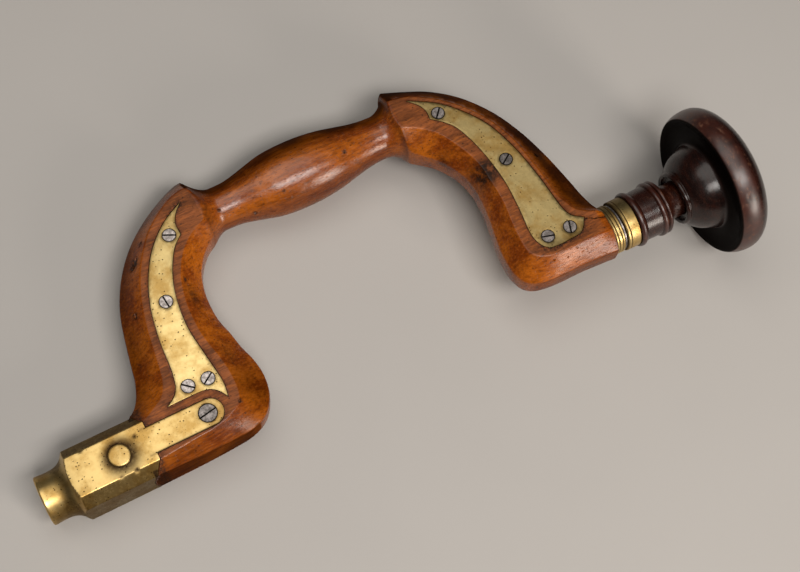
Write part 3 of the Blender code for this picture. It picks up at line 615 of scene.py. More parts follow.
def carve(blank: bpy.types.Object, tools: Sequence[tuple[Shell, Cut]]) -> None:
    """Cuts the blank with closed tools, one after another, and keeps the finished mesh."""
    made = []
    for shell, cut in tools:
        tool = object_of(f"{blank.name}_tool_{len(made)}", shell)
        made.append(tool)
        step = blank.modifiers.new(tool.name, "BOOLEAN")
        step.operation, step.solver, step.object = cut.value, "MANIFOLD", tool
    bpy.context.view_layer.update()
    graph = bpy.context.evaluated_depsgraph_get()
    finished = bpy.data.meshes.new_from_object(blank.evaluated_get(graph))
    blank.modifiers.clear()
    blank.data = finished
    finished.name = blank.name
    for tool in made:
        bpy.data.objects.remove(tool)


def vectors(source: Any, name: str) -> np.ndarray:
    """The vectors of a mesh's points or of their normals."""
    flat = np.empty(len(source) * 3, np.float32)
    source.foreach_get(name, flat)
    return flat.reshape(-1, 3).astype(float)


def local_points(obj: bpy.types.Object) -> np.ndarray:
    """The piece's points in the brace's millimetres."""
    return BENCH.unplace(vectors(obj.data.vertices, "co"))


def local_normals(obj: bpy.types.Object) -> np.ndarray:
    """The piece's point normals along the brace's own axes."""
    return vectors(obj.data.vertex_normals, "vector") @ BENCH.turn


def about_spindle(obj: bpy.types.Object) -> tuple[np.ndarray, np.ndarray]:
    """How far along the spindle and how far from it each of the piece's points lies."""
    x, y, z = local_points(obj).T
    return x, np.hypot(y, z)


def mark(obj: bpy.types.Object, name: str, values: np.ndarray) -> None:
    """Stores one number, or one vector, at every point of the piece."""
    kind, slot = ("FLOAT", "value") if values.ndim == 1 else ("FLOAT_VECTOR", "vector")
    layer = obj.data.attributes.new(name, kind, "POINT")
    layer.data.foreach_set(slot, values.astype(np.float32).ravel())


# ---------------------------------------------------------------- finishes


def linear(hex_colour: str) -> tuple[float, float, float, float]:
    """A linear colour from an sRGB hex value, by the sRGB transfer curve."""
    parts = [int(hex_colour[i : i + 2], 16) / 255 for i in (1, 3, 5)]
    red, green, blue = (c / 12.92 if c <= 0.04045 else ((c + 0.055) / 1.055) ** 2.4 for c in parts)
    return red, green, blue, 1.0


def node(tree: bpy.types.NodeTree, kind: str, settings: Mapping[str, Any] | None = None,
         inputs: Mapping[Any, Any] | None = None) -> bpy.types.Node:
    """Adds a node.

    Args:
        tree: the material's node tree.
        kind: the node's type, less the "ShaderNode" that all of them start with.
        settings: properties to set on it.
        inputs: for each input, by name or number, another node's socket or a plain value.

    Returns:
        The new node.
    """
    made = tree.nodes.new("ShaderNode" + kind)
    for name, value in (settings or {}).items():
        setattr(made, name, value)
    for name, value in (inputs or {}).items():
        if isinstance(value, bpy.types.NodeSocket):
            tree.links.new(value, made.inputs[name])
        else:
            made.inputs[name].default_value = value
    return made


class Recipe:
    """A material under construction: its tree, its shader and short ways to common values.

    A pattern's spacing is given as units of the pattern to a millimetre, on each axis or on all.
    """

    def __init__(self, name: str, on_marks: bool = True) -> None:
        """Starts a material. `on_marks` says that its pieces store their place in millimetres;
        otherwise the place comes from Object coordinates, brought to millimetres."""
        self.material = bpy.data.materials.new(name)
        self.material.use_nodes = True
        self.tree = self.material.node_tree
        self.shader = self.tree.nodes["Principled BSDF"]
        if on_marks:
            stored = node(self.tree, "Attribute", {"attribute_name": "place"})
            self.place = stored.outputs["Vector"]
        else:
            whole = node(self.tree, "TexCoord").outputs["Object"]
            self.place = node(self.tree, "Mapping", {}, {0: whole, "Scale": (1000.0,) * 3}).outputs[0]

    def values(self, *names: str) -> list[Socket]:
        """Numbers stored at the piece's points."""
        return [node(self.tree, "Attribute", {"attribute_name": name}).outputs["Fac"] for name in names]

    def pattern(self, kind: str, per_mm: Spacing, **inputs: float) -> bpy.types.Node:
        """A pattern over the place, scaled on each axis."""
        scale = (per_mm,) * 3 if isinstance(per_mm, float) else tuple(per_mm)
        where = node(self.tree, "VectorMath", {"operation": "MULTIPLY"}, {0: self.place, 1: scale})
        return node(self.tree, kind, {}, {"Vector": where.outputs[0], "Scale": 1.0, **inputs})

    def noise(self, per_mm: Spacing, detail: float = 3.0, rough: float = 0.5) -> Socket:
        """Soft random variation from 0 to 1."""
        return self.pattern("TexNoise", per_mm, Detail=detail, Roughness=rough).outputs["Fac"]

    def dots(self, per_mm: Spacing, size: Sequence[float], share: Sequence[float]) -> Socket:
        """Scattered dots: each fades from 0 at the first of two distances to 1 at the second, and
        a random number that passes from the first to the second of `share` lets it show."""
        made = self.pattern("TexVoronoi", per_mm)
        lottery = node(self.tree, "SeparateColor", {}, {0: made.outputs["Color"]}).outputs[0]
        return self.times(self.remap(made.outputs["Distance"], *size), self.remap(lottery, *share))

    def remap(self, source: Socket, low: float, high: float, to_low: float = 0.0,
              to_high: float = 1.0) -> Socket:
        """A source value brought from one range to another, held within it."""
        return node(self.tree, "MapRange", {"interpolation_type": "SMOOTHSTEP"}, {
            0: source, "From Min": low, "From Max": high, "To Min": to_low, "To Max": to_high,
        }).outputs[0]

    def times(self, first: Socket, second: Socket | float) -> Socket:
        """A product, held between 0 and 1."""
        settings = {"operation": "MULTIPLY", "use_clamp": True}
        return node(self.tree, "Math", settings, {0: first, 1: second}).outputs[0]

    def plus(self, *terms: Socket) -> Socket:
        """A sum, held between 0 and 1 after each term."""
        total, settings = terms[0], {"operation": "ADD", "use_clamp": True}
        for term in terms[1:]:
            total = node(self.tree, "Math", settings, {0: total, 1: term}).outputs[0]
        return total

    def rest(self, share: Socket) -> Socket:
        """What a share leaves of one."""
        return node(self.tree, "Math", {"operation": "SUBTRACT"}, {0: 1.0, 1: share}).outputs[0]

    def layers(self, colour: Socket | str, *layers: tuple[Socket, str | Socket]) -> Socket:
        """A colour under layers, each laid over the ones before it by its own share."""
        for share, tint in layers:
            pair = (linear(c) if isinstance(c, str) else c for c in (colour, tint))
            colour = node(self.tree, "Mix", {"data_type": "RGBA"},
                          dict(zip((0, 6, 7), (share, *pair)))).outputs[2]
        return colour

    def bumps(self, *rows: tuple[Socket, float]) -> Socket:
        """A normal from heights between 0 and 1, each standing for so many millimetres."""
        below: dict[str, Socket] = {}
        for height, depth_mm in rows:
            inputs = {"Height": height, "Distance": depth_mm * MM, "Strength": 1.0, **below}
            below = {"Normal": node(self.tree, "Bump", {}, inputs).outputs[0]}
        return below["Normal"]

    def surface(self, colour: Socket, roughness: Socket, normal: Socket, metallic: float = 0.0,
                **more: Socket | float) -> bpy.types.Material:
        """Joins values to the shader's inputs and returns the material.

        Args:
            colour: its base colour.
            roughness: its roughness.
            normal: its normal.
            metallic: 1 for a metal.
            more: other inputs, with underscores for spaces.

        Returns:
            The finished material.
        """
        given = {"Base Color": colour, "Roughness": roughness, "Normal": normal, **more}
        for name, value in given.items():
            plug = self.shader.inputs[name.replace("_", " ")]
            if isinstance(value, bpy.types.NodeSocket):
                self.tree.links.new(value, plug)
            else:
                plug.default_value = value
        self.shader.inputs["Metallic"].default_value = metallic
        return self.material


@dataclass(frozen=True)
class ShellacedBeech:
    """Beech, spokeshaved and finished with orange shellac: amber with short dark ray flecks.

    The film is thick and glossy in the chamfers, and handled to a dull pinkish brown on the flats.
    Flecks are 0.3 mm wide and 2 to 3 mm long along the grain, drawn a little coarse to show.
    """

    amber: str = "#B35E10"
    deep: str = "#863C07"
    rubbed: str = "#A65E31"
    rubbed_dark: str = "#7C431D"
    glint: str = "#C8712A"
    shade: str = "#220B01"
    dirt_and_shade: str = "#1A0F08"

    def make(self) -> bpy.types.Material:
        """Builds the material. Marks read: flat, the painted shade, soiling with the painted shade of the
        coves, stain, held.
        """
        r = Recipe("beech_under_orange_shellac")
        flat, painted_shade, grime_and_shade, stain, held = r.values("flat", "painted_shade", "grime_and_shade", "stain", "held")
        figure = r.noise((0.022, 0.13, 0.13), 4.0, 0.5)
        clouds = r.noise(0.05, 2.0, 0.45)
        fine = r.noise((0.35, 3.0, 3.0), 3.0, 0.6)
        streaks = r.noise((0.16, 0.9, 0.9), 4.0, 0.65)
        speck = r.dots((0.5, 0.62, 0.62), (0.26, 0.12), (0.80, 0.84))
        fleck = r.dots((0.38, 2.2, 2.2), (0.34, 0.12), (0.55, 0.62))
        ragged = r.times(grime_and_shade, r.remap(r.noise(0.9, 4.0, 0.7), 0.36, 0.56, 0.25, 1.0))
        blotch = r.times(stain, r.remap(r.noise(0.35, 4.0, 0.6), 0.35, 0.55, 0.45, 1.0))
        amber = r.layers(self.amber, (r.remap(figure, 0.36, 0.66), self.deep),
                         (r.remap(clouds, 0.50, 0.72, 0.0, 0.6), self.deep))
        rubbed = r.layers(self.rubbed, (r.remap(figure, 0.34, 0.68), self.rubbed_dark),
                          (r.remap(clouds, 0.46, 0.70, 0.0, 0.65), self.rubbed_dark))
        colour = r.layers(
            amber, (flat, rubbed),
            (r.remap(fine, 0.35, 0.75, 0.0, 0.30), self.shade),
            (r.remap(streaks, 0.46, 0.68, 0.0, 0.46), self.shade),
            (r.remap(streaks, 0.48, 0.32, 0.0, 0.36), self.glint),
            (r.times(fleck, 0.5), self.shade), (r.times(speck, 0.75), self.dirt_and_shade),
            # Painted shade: the outer chamfers, the top of the grip and the sides that face down or
            # inwards, darkened towards the shade colour.
            (r.times(painted_shade, r.remap(clouds, 0.25, 0.6, 0.65, 1.0)), self.shade),
            # Soiling, with the painted shade of the coves, then stains.
            (ragged, self.dirt_and_shade), (blotch, self.dirt_and_shade),
        )
        dull = r.plus(r.remap(flat, 0.0, 1.0, 0.21, 0.44), r.remap(fine, 0.3, 0.8, 0.0, 0.12),
                      r.times(ragged, 0.3))
        waves = r.noise((0.12, 0.16, 0.16), 2.0, 0.5)
        normal = r.bumps((waves, 0.26), (fine, 0.035), (r.rest(fleck), 0.05))
        bare = r.plus(r.remap(flat, 0.0, 1.0, 0.34, 0.20), r.times(held, 0.30))
        shine = r.times(bare, r.remap(painted_shade, 0.0, 0.75, 1.0, 0.0))
        return r.surface(colour, dull, normal, Specular_IOR_Level=shine,
                         Coat_Weight=0.04, Coat_Roughness=0.12)


@dataclass(frozen=True)
class PolishedRosewood:
    """Rosewood, turned and French polished: nearly black with red-brown streaks and a deep gloss.

    The grain runs across the head, since its blank is side grain, with pores about 0.3 mm wide.
    """

    heart: str = "#150603"
    streak: str = "#2A0F06"
    worn: str = "#42190A"
    pore: str = "#0C0402"
    scuff: str = "#8C5A3C"
    # Near black: the painted shade of the underside.
    dark: str = "#0A0402"
    along: tuple[float, float, float] = (0.5, 0.06, 0.5)

    def make(self) -> bpy.types.Material:
        """Builds the material. Marks read: worn, and the painted shade of the underside that faces the
        chuck.
        """
        r = Recipe("rosewood_french_polished")
        worn, underside_shade = r.values("worn", "underside_shade")
        figure = r.noise(self.along, 5.0, 0.65)
        pores = r.noise(tuple(8.0 * c for c in self.along), 3.0, 0.6)
        rubbed = r.times(worn, r.remap(r.noise(0.2, 4.0, 0.6), 0.3, 0.65, 0.3, 1.0))
        scuffs = r.times(r.remap(r.noise((0.5, 0.25, 0.5), 5.0, 0.75), 0.53, 0.70),
                         r.remap(worn, 0.1, 0.8, 0.15, 1.0))
        colour = r.layers(
            self.heart, (r.remap(figure, 0.40, 0.68), self.streak), (rubbed, self.worn),
            (r.remap(pores, 0.55, 0.75, 0.0, 0.6), self.pore),
            # Painted shade: the underside that faces the chuck, near black.
            (r.times(scuffs, 0.45), self.scuff), (underside_shade, self.dark),
        )
        dull = r.plus(r.remap(pores, 0.4, 0.8, 0.20, 0.32), r.times(scuffs, 0.3), r.times(underside_shade, 0.4),
                      r.times(worn, 0.13))
        normal = r.bumps((r.noise(0.10, 2.0, 0.5), 0.14), (pores, 0.03))
        shine = r.times(r.remap(worn, 0.0, 1.0, 0.45, 0.75), r.remap(underside_shade, 0.0, 1.0, 1.0, 0.06))
        return r.surface(colour, dull, normal, Specular_IOR_Level=shine,
                         Coat_Weight=0.05, Coat_Roughness=0.14)


@dataclass(frozen=True)
class HandledBrass:
    """Brass, cast and filed or turned, then handled for a century: gold with pits and brown patina, whose
    colour also lays painted shade.

    Pits are 0.2 to 0.5 mm across and a few millimetres apart. File or lathe marks are fine lines.
    """

    name: str
    bright: str = "#F3D896"
    aged: str = "#DDB66E"
    tarnish: str = "#3F2C10"
    hole: str = "#2A1A08"
    dirt_and_shade: str = "#33211A"
    lines: tuple[float, float, float] = (0.25, 6.0, 6.0)
    pitting: float = 0.66
    specks: float = 0.62
    dullness: float = 0.30

    def make(self) -> bpy.types.Material:
        """Builds the material. Marks read: patina with painted shade, and soiling with painted shade."""
        r = Recipe(self.name)
        tarnish, grime_and_shade = r.values("tarnish", "grime_and_shade")
        clouds, mottle = r.noise(0.10, 4.0, 0.62), r.noise(0.7, 4.0, 0.7)
        pit = r.dots(0.75, (0.27, 0.12), (self.pitting, self.pitting + 0.05))
        speck = r.dots(1.9, (0.26, 0.12), (self.specks, self.specks + 0.04))
        speck = r.times(speck, r.remap(clouds, 0.42, 0.60))
        holes = r.plus(pit, r.times(speck, 0.7))
        # Patina, with painted shade where the mark lays it; the soiling mark likewise carries painted
        # shade.
        film = r.times(tarnish, r.remap(mottle, 0.25, 0.55, 0.8, 1.0))
        soiled_and_shaded = r.times(grime_and_shade, r.remap(mottle, 0.30, 0.55, 0.82, 1.0))
        colour = r.layers(
            self.bright, (r.remap(clouds, 0.38, 0.66), self.aged),
            (r.remap(mottle, 0.56, 0.78, 0.0, 0.22), self.tarnish), (film, self.tarnish),
            (r.times(holes, 0.85), self.hole), (soiled_and_shaded, self.dirt_and_shade),
        )
        dull = r.plus(r.remap(clouds, 0.3, 0.7, self.dullness, self.dullness + 0.10), r.times(film, 0.22),
                      r.times(soiled_and_shaded, 0.35), r.times(holes, 0.3))
        normal = r.bumps((r.noise(0.14, 2.0, 0.5), 0.16), (r.noise(self.lines, 2.0, 0.5), 0.012),
                         (r.rest(holes), 0.07))
        return r.surface(colour, dull, normal, metallic=1.0)


@dataclass(frozen=True)
class WornSteel:
    """Mild steel, turned and left bare: grey with brown specks, with soiling where a brush can't reach
    and painted shade in screw slots.
    """

    name: str
    bright: str = "#D2C9C6"
    grey: str = "#97908C"
    rust: str = "#3B2418"
    dirt_and_shade: str = "#1B1612"
    dullness: float = 0.33
    on_marks: bool = True

    def make(self) -> bpy.types.Material:
        """Builds the material. Mark read where the piece stores marks: soiling with painted shade."""
        r = Recipe(self.name, self.on_marks)
        clouds, fine = r.noise(0.5, 4.0, 0.65), r.noise(3.0, 3.0, 0.7)
        colour = r.layers(self.bright, (r.remap(clouds, 0.35, 0.65), self.grey),
                          (r.remap(fine, 0.54, 0.68, 0.0, 0.85), self.rust))
        dull = r.plus(r.remap(clouds, 0.3, 0.7, self.dullness, self.dullness + 0.12),
                      r.remap(fine, 0.5, 0.8, 0.0, 0.25))
        if self.on_marks:
            (grime_and_shade,) = r.values("grime_and_shade")
            # Soiling, with painted shade in slots and recesses.
            colour = r.layers(colour, (grime_and_shade, self.dirt_and_shade))
            dull = r.plus(dull, r.times(grime_and_shade, 0.4))
        return r.surface(colour, dull, r.bumps((fine, 0.02)), metallic=1.0)


@dataclass(frozen=True)
class StudioCard:
    """A pale painted board under the brace: matt, with the faint unevenness of rolled paint."""

    paint: str = "#BDB9B5"
    patch: str = "#B7B3AF"

    def make(self) -> bpy.types.Material:
        """Builds the material on Object coordinates."""
        r = Recipe("pale_painted_board", on_marks=False)
        colour = r.layers(self.paint, (r.noise(0.01, 3.0, 0.5), self.patch))
        dull = r.remap(r.noise(0.5), 0.0, 1.0, 0.75, 0.85)
        return r.surface(colour, dull, r.bumps((r.noise(1.2, 3.0), 0.02)))


# The finish of each material slot, and of the steel inside and the floor.
FINISHES = {
    "beech": ShellacedBeech(),
    "rosewood": PolishedRosewood(),
    "chuck_brass": HandledBrass("chuck_brass_cast_and_filed", bright="#E4C583", aged="#CBA35C"),
    "plate_brass": HandledBrass("plate_brass_sheet", aged="#D9B26A", lines=(3.0, 3.0, 3.0), pitting=0.74,
                                specks=0.84, dullness=0.34),
    "ring_brass": HandledBrass("ferrule_brass_turned", lines=(7.0, 0.3, 0.3), pitting=0.7, dullness=0.26),
    "screw_steel": WornSteel("screw_steel_slotted"),
    "washer_steel": WornSteel("washer_steel_turned", dullness=0.22),
    "latch_steel": WornSteel("latch_steel_filed", grey="#5E5A55", on_marks=False),
    "spindle_steel": WornSteel("spindle_steel_turned", grey="#6B6862", on_marks=False),
    "floor": StudioCard(),
}


# ---------------------------------------------------------------- sub-assemblies


@dataclass
class Trade:
    """One trade's share of the brace: it makes pieces and dresses them in the shared finishes."""

    coats: Mapping[str, bpy.types.Material]

    def finish(self, obj: bpy.types.Object, slot: str, stands_for: str,
               marks: Mapping[str, np.ndarray] | None = None, body: Body = Body.BRACE,
               coat: str = "") -> None:
        """Shades, marks, dresses and mounts a finished piece.

        Args:
            obj: the piece, at the origin.
            slot: the record's material slot.
            stands_for: the CAD node it replaces.
            marks: more values to store at its points.
            body: the body it rides on.
            coat: its finish, where the slot doesn't name it.
        """
        obj.data.polygons.foreach_set("use_smooth", [True] * len(obj.data.polygons))
        obj.data.set_sharp_from_angle(angle=SMOOTH_UNDER)
        for name, values in {"place": local_points(obj), **(marks or {})}.items():
            mark(obj, name, values)
        obj.data.materials.clear()
        obj.data.materials.append(self.coats[coat or slot])
        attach(obj, body.value)
        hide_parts(stands_for)
        LOG.info("%s: %d faces, rides on %s", obj.name, len(obj.data.polygons), body.value)


@dataclass
class Stock(Trade):
    """The beech stock: two chamfered webs, two coves and a turned grip, lofted as one skin."""

    rounding: float = 0.75
    arc_points: int = 5
    side_points: tuple[int, ...] = (22, 10, 7, 10, 22, 10, 7, 10)
    crown: float = 0.22
    lower_steps: int = 8
    upper_steps: int = 11
    cove_rings: int = 26
    cove_sharpness: float = 42.0
    grip_steps: int = 6
    thin_from: float = 262.0
    lower: np.ndarray = field(init=False)
    upper: np.ndarray = field(init=False)
    centres: list[np.ndarray] = field(init=False)

    def __post_init__(self) -> None:
        """Smooths the stations of the webs and finds the point of the skin nearest to each nick."""
        self.lower = curve_through(LOWER_WEB, self.lower_steps)
        self.upper = curve_through(UPPER_WEB, self.upper_steps)
        skin = self.shell().points()
        self.centres = [skin[np.linalg.norm(skin - np.array(row[:3]), axis=1).argmin()] for row in NICKS]

    def half_heights(self, rows: np.ndarray, is_upper: bool) -> np.ndarray:
        """Half the thickness at each station: it eases down towards the neck, as a square."""
        near_end = np.clip((rows[:, 2] - self.thin_from) / (STOCK_END - self.thin_from), 0.0, None)
        return HALF_THICKNESS - (HALF_THICKNESS - NECK_HALF_THICKNESS) * near_end**2 * is_upper

    def web(self, rows: np.ndarray, is_upper: bool) -> np.ndarray:
        """The rings of one web.

        Each section is an octagon, whose corners are quadratic arcs that start and end tangent to
        the sides, and whose sides bulge by a parabola of `crown` except on the two flat faces.
        """
        outer, across = rows[:, 0:2], rows[:, 2:4] - rows[:, 0:2]
        length = np.linalg.norm(across, axis=1)
        across = across / length[:, None]
        half, side = self.half_heights(rows, is_upper), rows[:, 6]
        near, far, zero = rows[:, 4], length - rows[:, 5], 0 * length
        corners = np.stack([np.stack(pair, 1) for pair in (
            (near, half), (far, half), (length, side), (length, -side),
            (far, -half), (near, -half), (zero, -side), (zero, side),
        )], axis=1)
        edge = np.roll(corners, -1, axis=1) - corners
        long = np.linalg.norm(edge, axis=2, keepdims=True)
        cut = np.minimum(self.rounding, 0.3 * long) / long
        leave, arrive = corners + edge * cut, corners + edge * (1 - cut)
        t = np.linspace(0, 1, self.arc_points + 2)[None, 1:-1, None]
        pieces = []
        for i, points in enumerate(self.side_points):
            start, bend, end = arrive[:, i - 1, None], corners[:, i, None], leave[:, i, None]
            pieces.append((1 - t) ** 2 * start + 2 * t * (1 - t) * bend + t**2 * end)
            s = np.linspace(0, 1, points)[None, :, None]
            line = leave[:, i, None] * (1 - s) + arrive[:, i, None] * s
            outwards = np.stack([edge[:, i, 1], -edge[:, i, 0]], 1)[:, None] / -long[:, i, None]
            bulge = 0.0 if i in (0, 4) else self.crown
            pieces.append(line + outwards * 4 * bulge * s * (1 - s))
        section = np.concatenate(pieces, axis=1)
        flat = outer[:, None] + across[:, None] * section[..., 0:1]
        return np.concatenate([flat, section[..., 1:2]], axis=2)

    def even_rings(self, collar: np.ndarray, radii: np.ndarray) -> np.ndarray:
        """Rings of the grip whose points keep the angles that the collar's points have."""
        angle = np.unwrap(np.arctan2(collar[:, 2], collar[:, 1] - GRIP_OFFSET))
        x, radius = radii[:, 0:1], radii[:, 1:2]
        y, z = GRIP_OFFSET + radius * np.cos(angle), radius * np.sin(angle)
        return np.stack([x + 0 * angle, y, z], axis=-1)

    def sleeve(self, collar: np.ndarray, end: float) -> np.ndarray:
        """Rings that carry a collar straight along the grip to `end`, for the cove to be cut from."""
        share = (np.arange(1, self.cove_rings + 1) / self.cove_rings)[:, None, None]
        rings = collar + 0 * share
        rings[..., 0] = collar[:, 0] + (end - collar[:, 0]) * share[..., 0]
        return rings

    def cut_coves(self, rings: np.ndarray) -> np.ndarray:
        """Turns the coves: no point stays further from the grip's axis than the cove's radius at
        its x. The two radii meet as a soft minimum, the sum of their powers -p raised to -1/p."""
        x, y, z = rings[..., 0], rings[..., 1] - GRIP_OFFSET, rings[..., 2]
        radius = np.maximum(np.hypot(y, z), 1e-6)
        limit = np.minimum(*(np.interp(x, *np.array(cove).T) for cove in (LOWER_COVE, UPPER_COVE)))
        p = self.cove_sharpness
        held = (radius**-p + limit**-p) ** (-1.0 / p)
        share = np.where(limit > COVE_REACH, radius, held) / radius
        return np.stack([x, GRIP_OFFSET + y * share, z * share], axis=-1)

    def shell(self) -> Shell:
        """The whole skin, closed at both ends."""
        low, high = self.web(self.lower, False), self.web(self.upper, True)
        radii = curve_through(GRIP_RADII, self.grip_steps)
        share = ((radii[:, 0] - radii[0, 0]) / (radii[-1, 0] - radii[0, 0]))[:, None, None]
        first, last = (self.even_rings(collar, radii) for collar in (low[-1], high[0]))
        grip = first * (1 - share) + last * share
        centre = np.stack([grip[..., 1] - GRIP_OFFSET, grip[..., 2]], -1)
        true = radii[:, 1:2] / np.linalg.norm(centre, axis=-1)
        grip[..., 1] = GRIP_OFFSET + centre[..., 0] * true
        grip[..., 2] = centre[..., 1] * true
        left = self.cut_coves(np.concatenate([low, self.sleeve(low[-1], GRIP_RADII[0][0])[:-1]]))
        right = self.sleeve(high[0], GRIP_RADII[-1][0])[:-1][::-1]
        right = self.cut_coves(np.concatenate([right, high]))
        return Shell().tube(np.concatenate([left, grip, right]))

    def tools(self) -> list[tuple[Shell, Cut]]:
        """Pockets for plates and tangs, screw holes, the curved end and the spindle bore."""
        pockets, holes, recesses = Shell(), Shell(), Shell()
        small = screw_shape(SCREW_HEAD, SCREW_LENGTH, GAP)
        screws = [(x, y, small, 24) for x, y, _ in LOWER_SCREWS + UPPER_SCREWS]
        screws.append((TANG_SCREW_X, 0.0, screw_shape(TANG_SCREW_HEAD, TANG_SCREW_LENGTH, GAP), 32))
        for runs in (LOWER_PLATE, UPPER_PLATE):
            for face in Face:
                pockets.join(pocket(widened(outline_of(runs, 8), GAP), face, PLATE_THICK, 2))
        for face in Face:
            for x, y, shape, segments in screws:
                holes.join(upright(lathe(shape, segments), (x, y, face.value * HALF_THICKNESS), face))
            recesses.join(pocket(tang_outline(GAP), face, TANG_THICK, 3))
        end = prism(shoulder_outline(SHOULDER_RADIUS - GAP, 17.0, 30.0), -30.0, 30.0, from_side=True)
        tools = (end, pockets, recesses, holes, rod(255.0, 290.0, 4.3, 32), self.crack(), self.nicks())
        return [(tool, Cut.AWAY) for tool in tools]

    def crack(self) -> Shell:
        """A hairline split in the front face, from the plate's corner to the neck: a thin wedge
        along a line that wanders a little."""
        line = curve_through(CRACK, 5)
        width = 0.19 + 0.04 * np.sin(np.arange(len(line)) * 1.7)
        aside = np.stack([0 * width, width], 1)
        return prism(np.concatenate([line + aside, (line - aside)[::-1]]), 11.2, 16.0)

    def nicks(self) -> Shell:
        """Small dents and gouges: flattened balls sunk into the skin."""
        shell = Shell()
        angle = np.linspace(-np.pi / 2, np.pi / 2, 9)
        ball = lathe(np.stack([np.sin(angle), np.cos(angle) * (np.abs(angle) < 1.57)], 1), 14)
        for centre, (*_, a, b, c, degrees) in zip(self.centres, NICKS):
            shell.join(ball.turned(spun(degrees) @ np.diag([a, b, c]), centre))
        return shell

    def reach(self, points: np.ndarray) -> np.ndarray:
        """How far across its web each point lies, from 0 at the outer side to 1 at the inner."""
        best = np.full(len(points), np.inf)
        share = np.full(len(points), 0.5)
        for row in (*self.lower[::4], *self.upper[::4]):
            edge, away = row[2:4] - row[0:2], points[:, :2] - row[0:2]
            held = np.clip(away @ edge / (edge @ edge), 0, 1)
            gap = np.linalg.norm(away - held[:, None] * edge, axis=1)
            closer = gap < best
            best, share = np.where(closer, gap, best), np.where(closer, held, share)
        return share

    def painted_shade(self, at: np.ndarray, facing: np.ndarray, raised: np.ndarray) -> np.ndarray:
        """Painted shade, which also takes away sheen: on the outer chamfers, the top of the grip, the
        sides that face down or inwards, and one corner of the lower web."""
        x, y, _ = at.T
        share, inwards, on_grip = self.reach(at), -facing[:, 1], (x > 112) * (x < 217)
        painted_shade = 0.95 * ramp(share, 0.36, 0.12) * (x > 215) * raised
        painted_shade += 0.6 * ramp(share, 0.24, 0.02) * (x < 114) * raised
        painted_shade += 0.9 * ramp(-inwards, 0.0, 0.65) * on_grip * raised
        painted_shade += 0.25 * ramp(-facing[:, 2], -0.35, 0.6)
        painted_shade += 0.40 * ramp(inwards, 0.55, 1.0) * (x > 118) * (x < 212)
        painted_shade += (0.30 * ramp(inwards, 0.35, 0.7) * (x < 96) + 0.45 * ramp(inwards, 0.80, 0.98)) * (y < 0)
        painted_shade += 0.65 * bell(x, 101.0, 9.0) * bell(y, 2.0, 13.0) * raised
        return np.clip(painted_shade, 0, 0.95)

    def grime_and_shade(self, at: np.ndarray) -> np.ndarray:
        """Soiling round the brass, at both ends, in the nicks and crack, and painted shade in the coves.
        """
        x, y, z = at.T
        high = np.abs(z) > HALF_THICKNESS - 0.6
        edges = [outline_of(LOWER_PLATE, 4), outline_of(UPPER_PLATE, 4), tang_outline(0.0)]
        near = np.min([distance_to(at[:, :2], edge) for edge in edges], axis=0)
        grime_and_shade = high * (0.85 * fade(near, 0.45) + 0.30 * fade(near, 1.6))
        grime_and_shade += high * patches(x, y, PLATE_DIRT)
        grime_and_shade += 0.8 * fade(x - 51.4, 0.6) * (np.abs(y) < 16) + 0.7 * fade(STOCK_END - x, 0.5) * (y < 30)
        # Painted shade in the two coves.
        in_cove = (np.hypot(y - GRIP_OFFSET, z) < 15.5) * (y > 60)
        grime_and_shade += 0.42 * (bell(x, 116.0, 2.4) + bell(x, 213.6, 2.4)) * in_cove
        for centre, row in zip(self.centres, NICKS):
            grime_and_shade += 1.1 * np.exp(-((np.linalg.norm(at - centre, axis=1) / (0.85 * row[3])) ** 4))
        grime_and_shade += 0.9 * bell(distance_to(at[:, :2], np.array(CRACK), False), 0.0, 0.5) * (z > 8)
        return np.clip(grime_and_shade, 0, 0.95)

    def marks(self, obj: bpy.types.Object) -> dict[str, np.ndarray]:
        """Where the wood is flat and rubbed, painted shade, soiling with painted shade in the coves,
        stains, and where the hand holds it.
        """
        at, facing = local_points(obj), local_normals(obj)
        x, y, z = at.T
        webbed = (x < GRIP_START) | (x > GRIP_END) | (y < 60)
        flat = ramp(np.abs(facing[:, 2]), 0.955, 0.99) * webbed * (np.abs(z) > 12.0)
        stain = (patches(x, y, STAINS) + patches(x, y, CHAMFER_STAINS) * (1 - flat)) * (z > 2)
        return {
            "flat": flat, "painted_shade": self.painted_shade(at, facing, 1 - flat), "grime_and_shade": self.grime_and_shade(at),
            "stain": np.clip(stain, 0, 0.95), "held": ramp(x, 116.0, 122.0) * ramp(x, 214.0, 208.0),
        }

    def build(self) -> None:
        """Lofts, carves, marks and dresses the stock."""
        obj = object_of("stock_beech_octagon", self.shell())
        carve(obj, self.tools())
        self.finish(obj, "beech", "beech_stock", self.marks(obj))


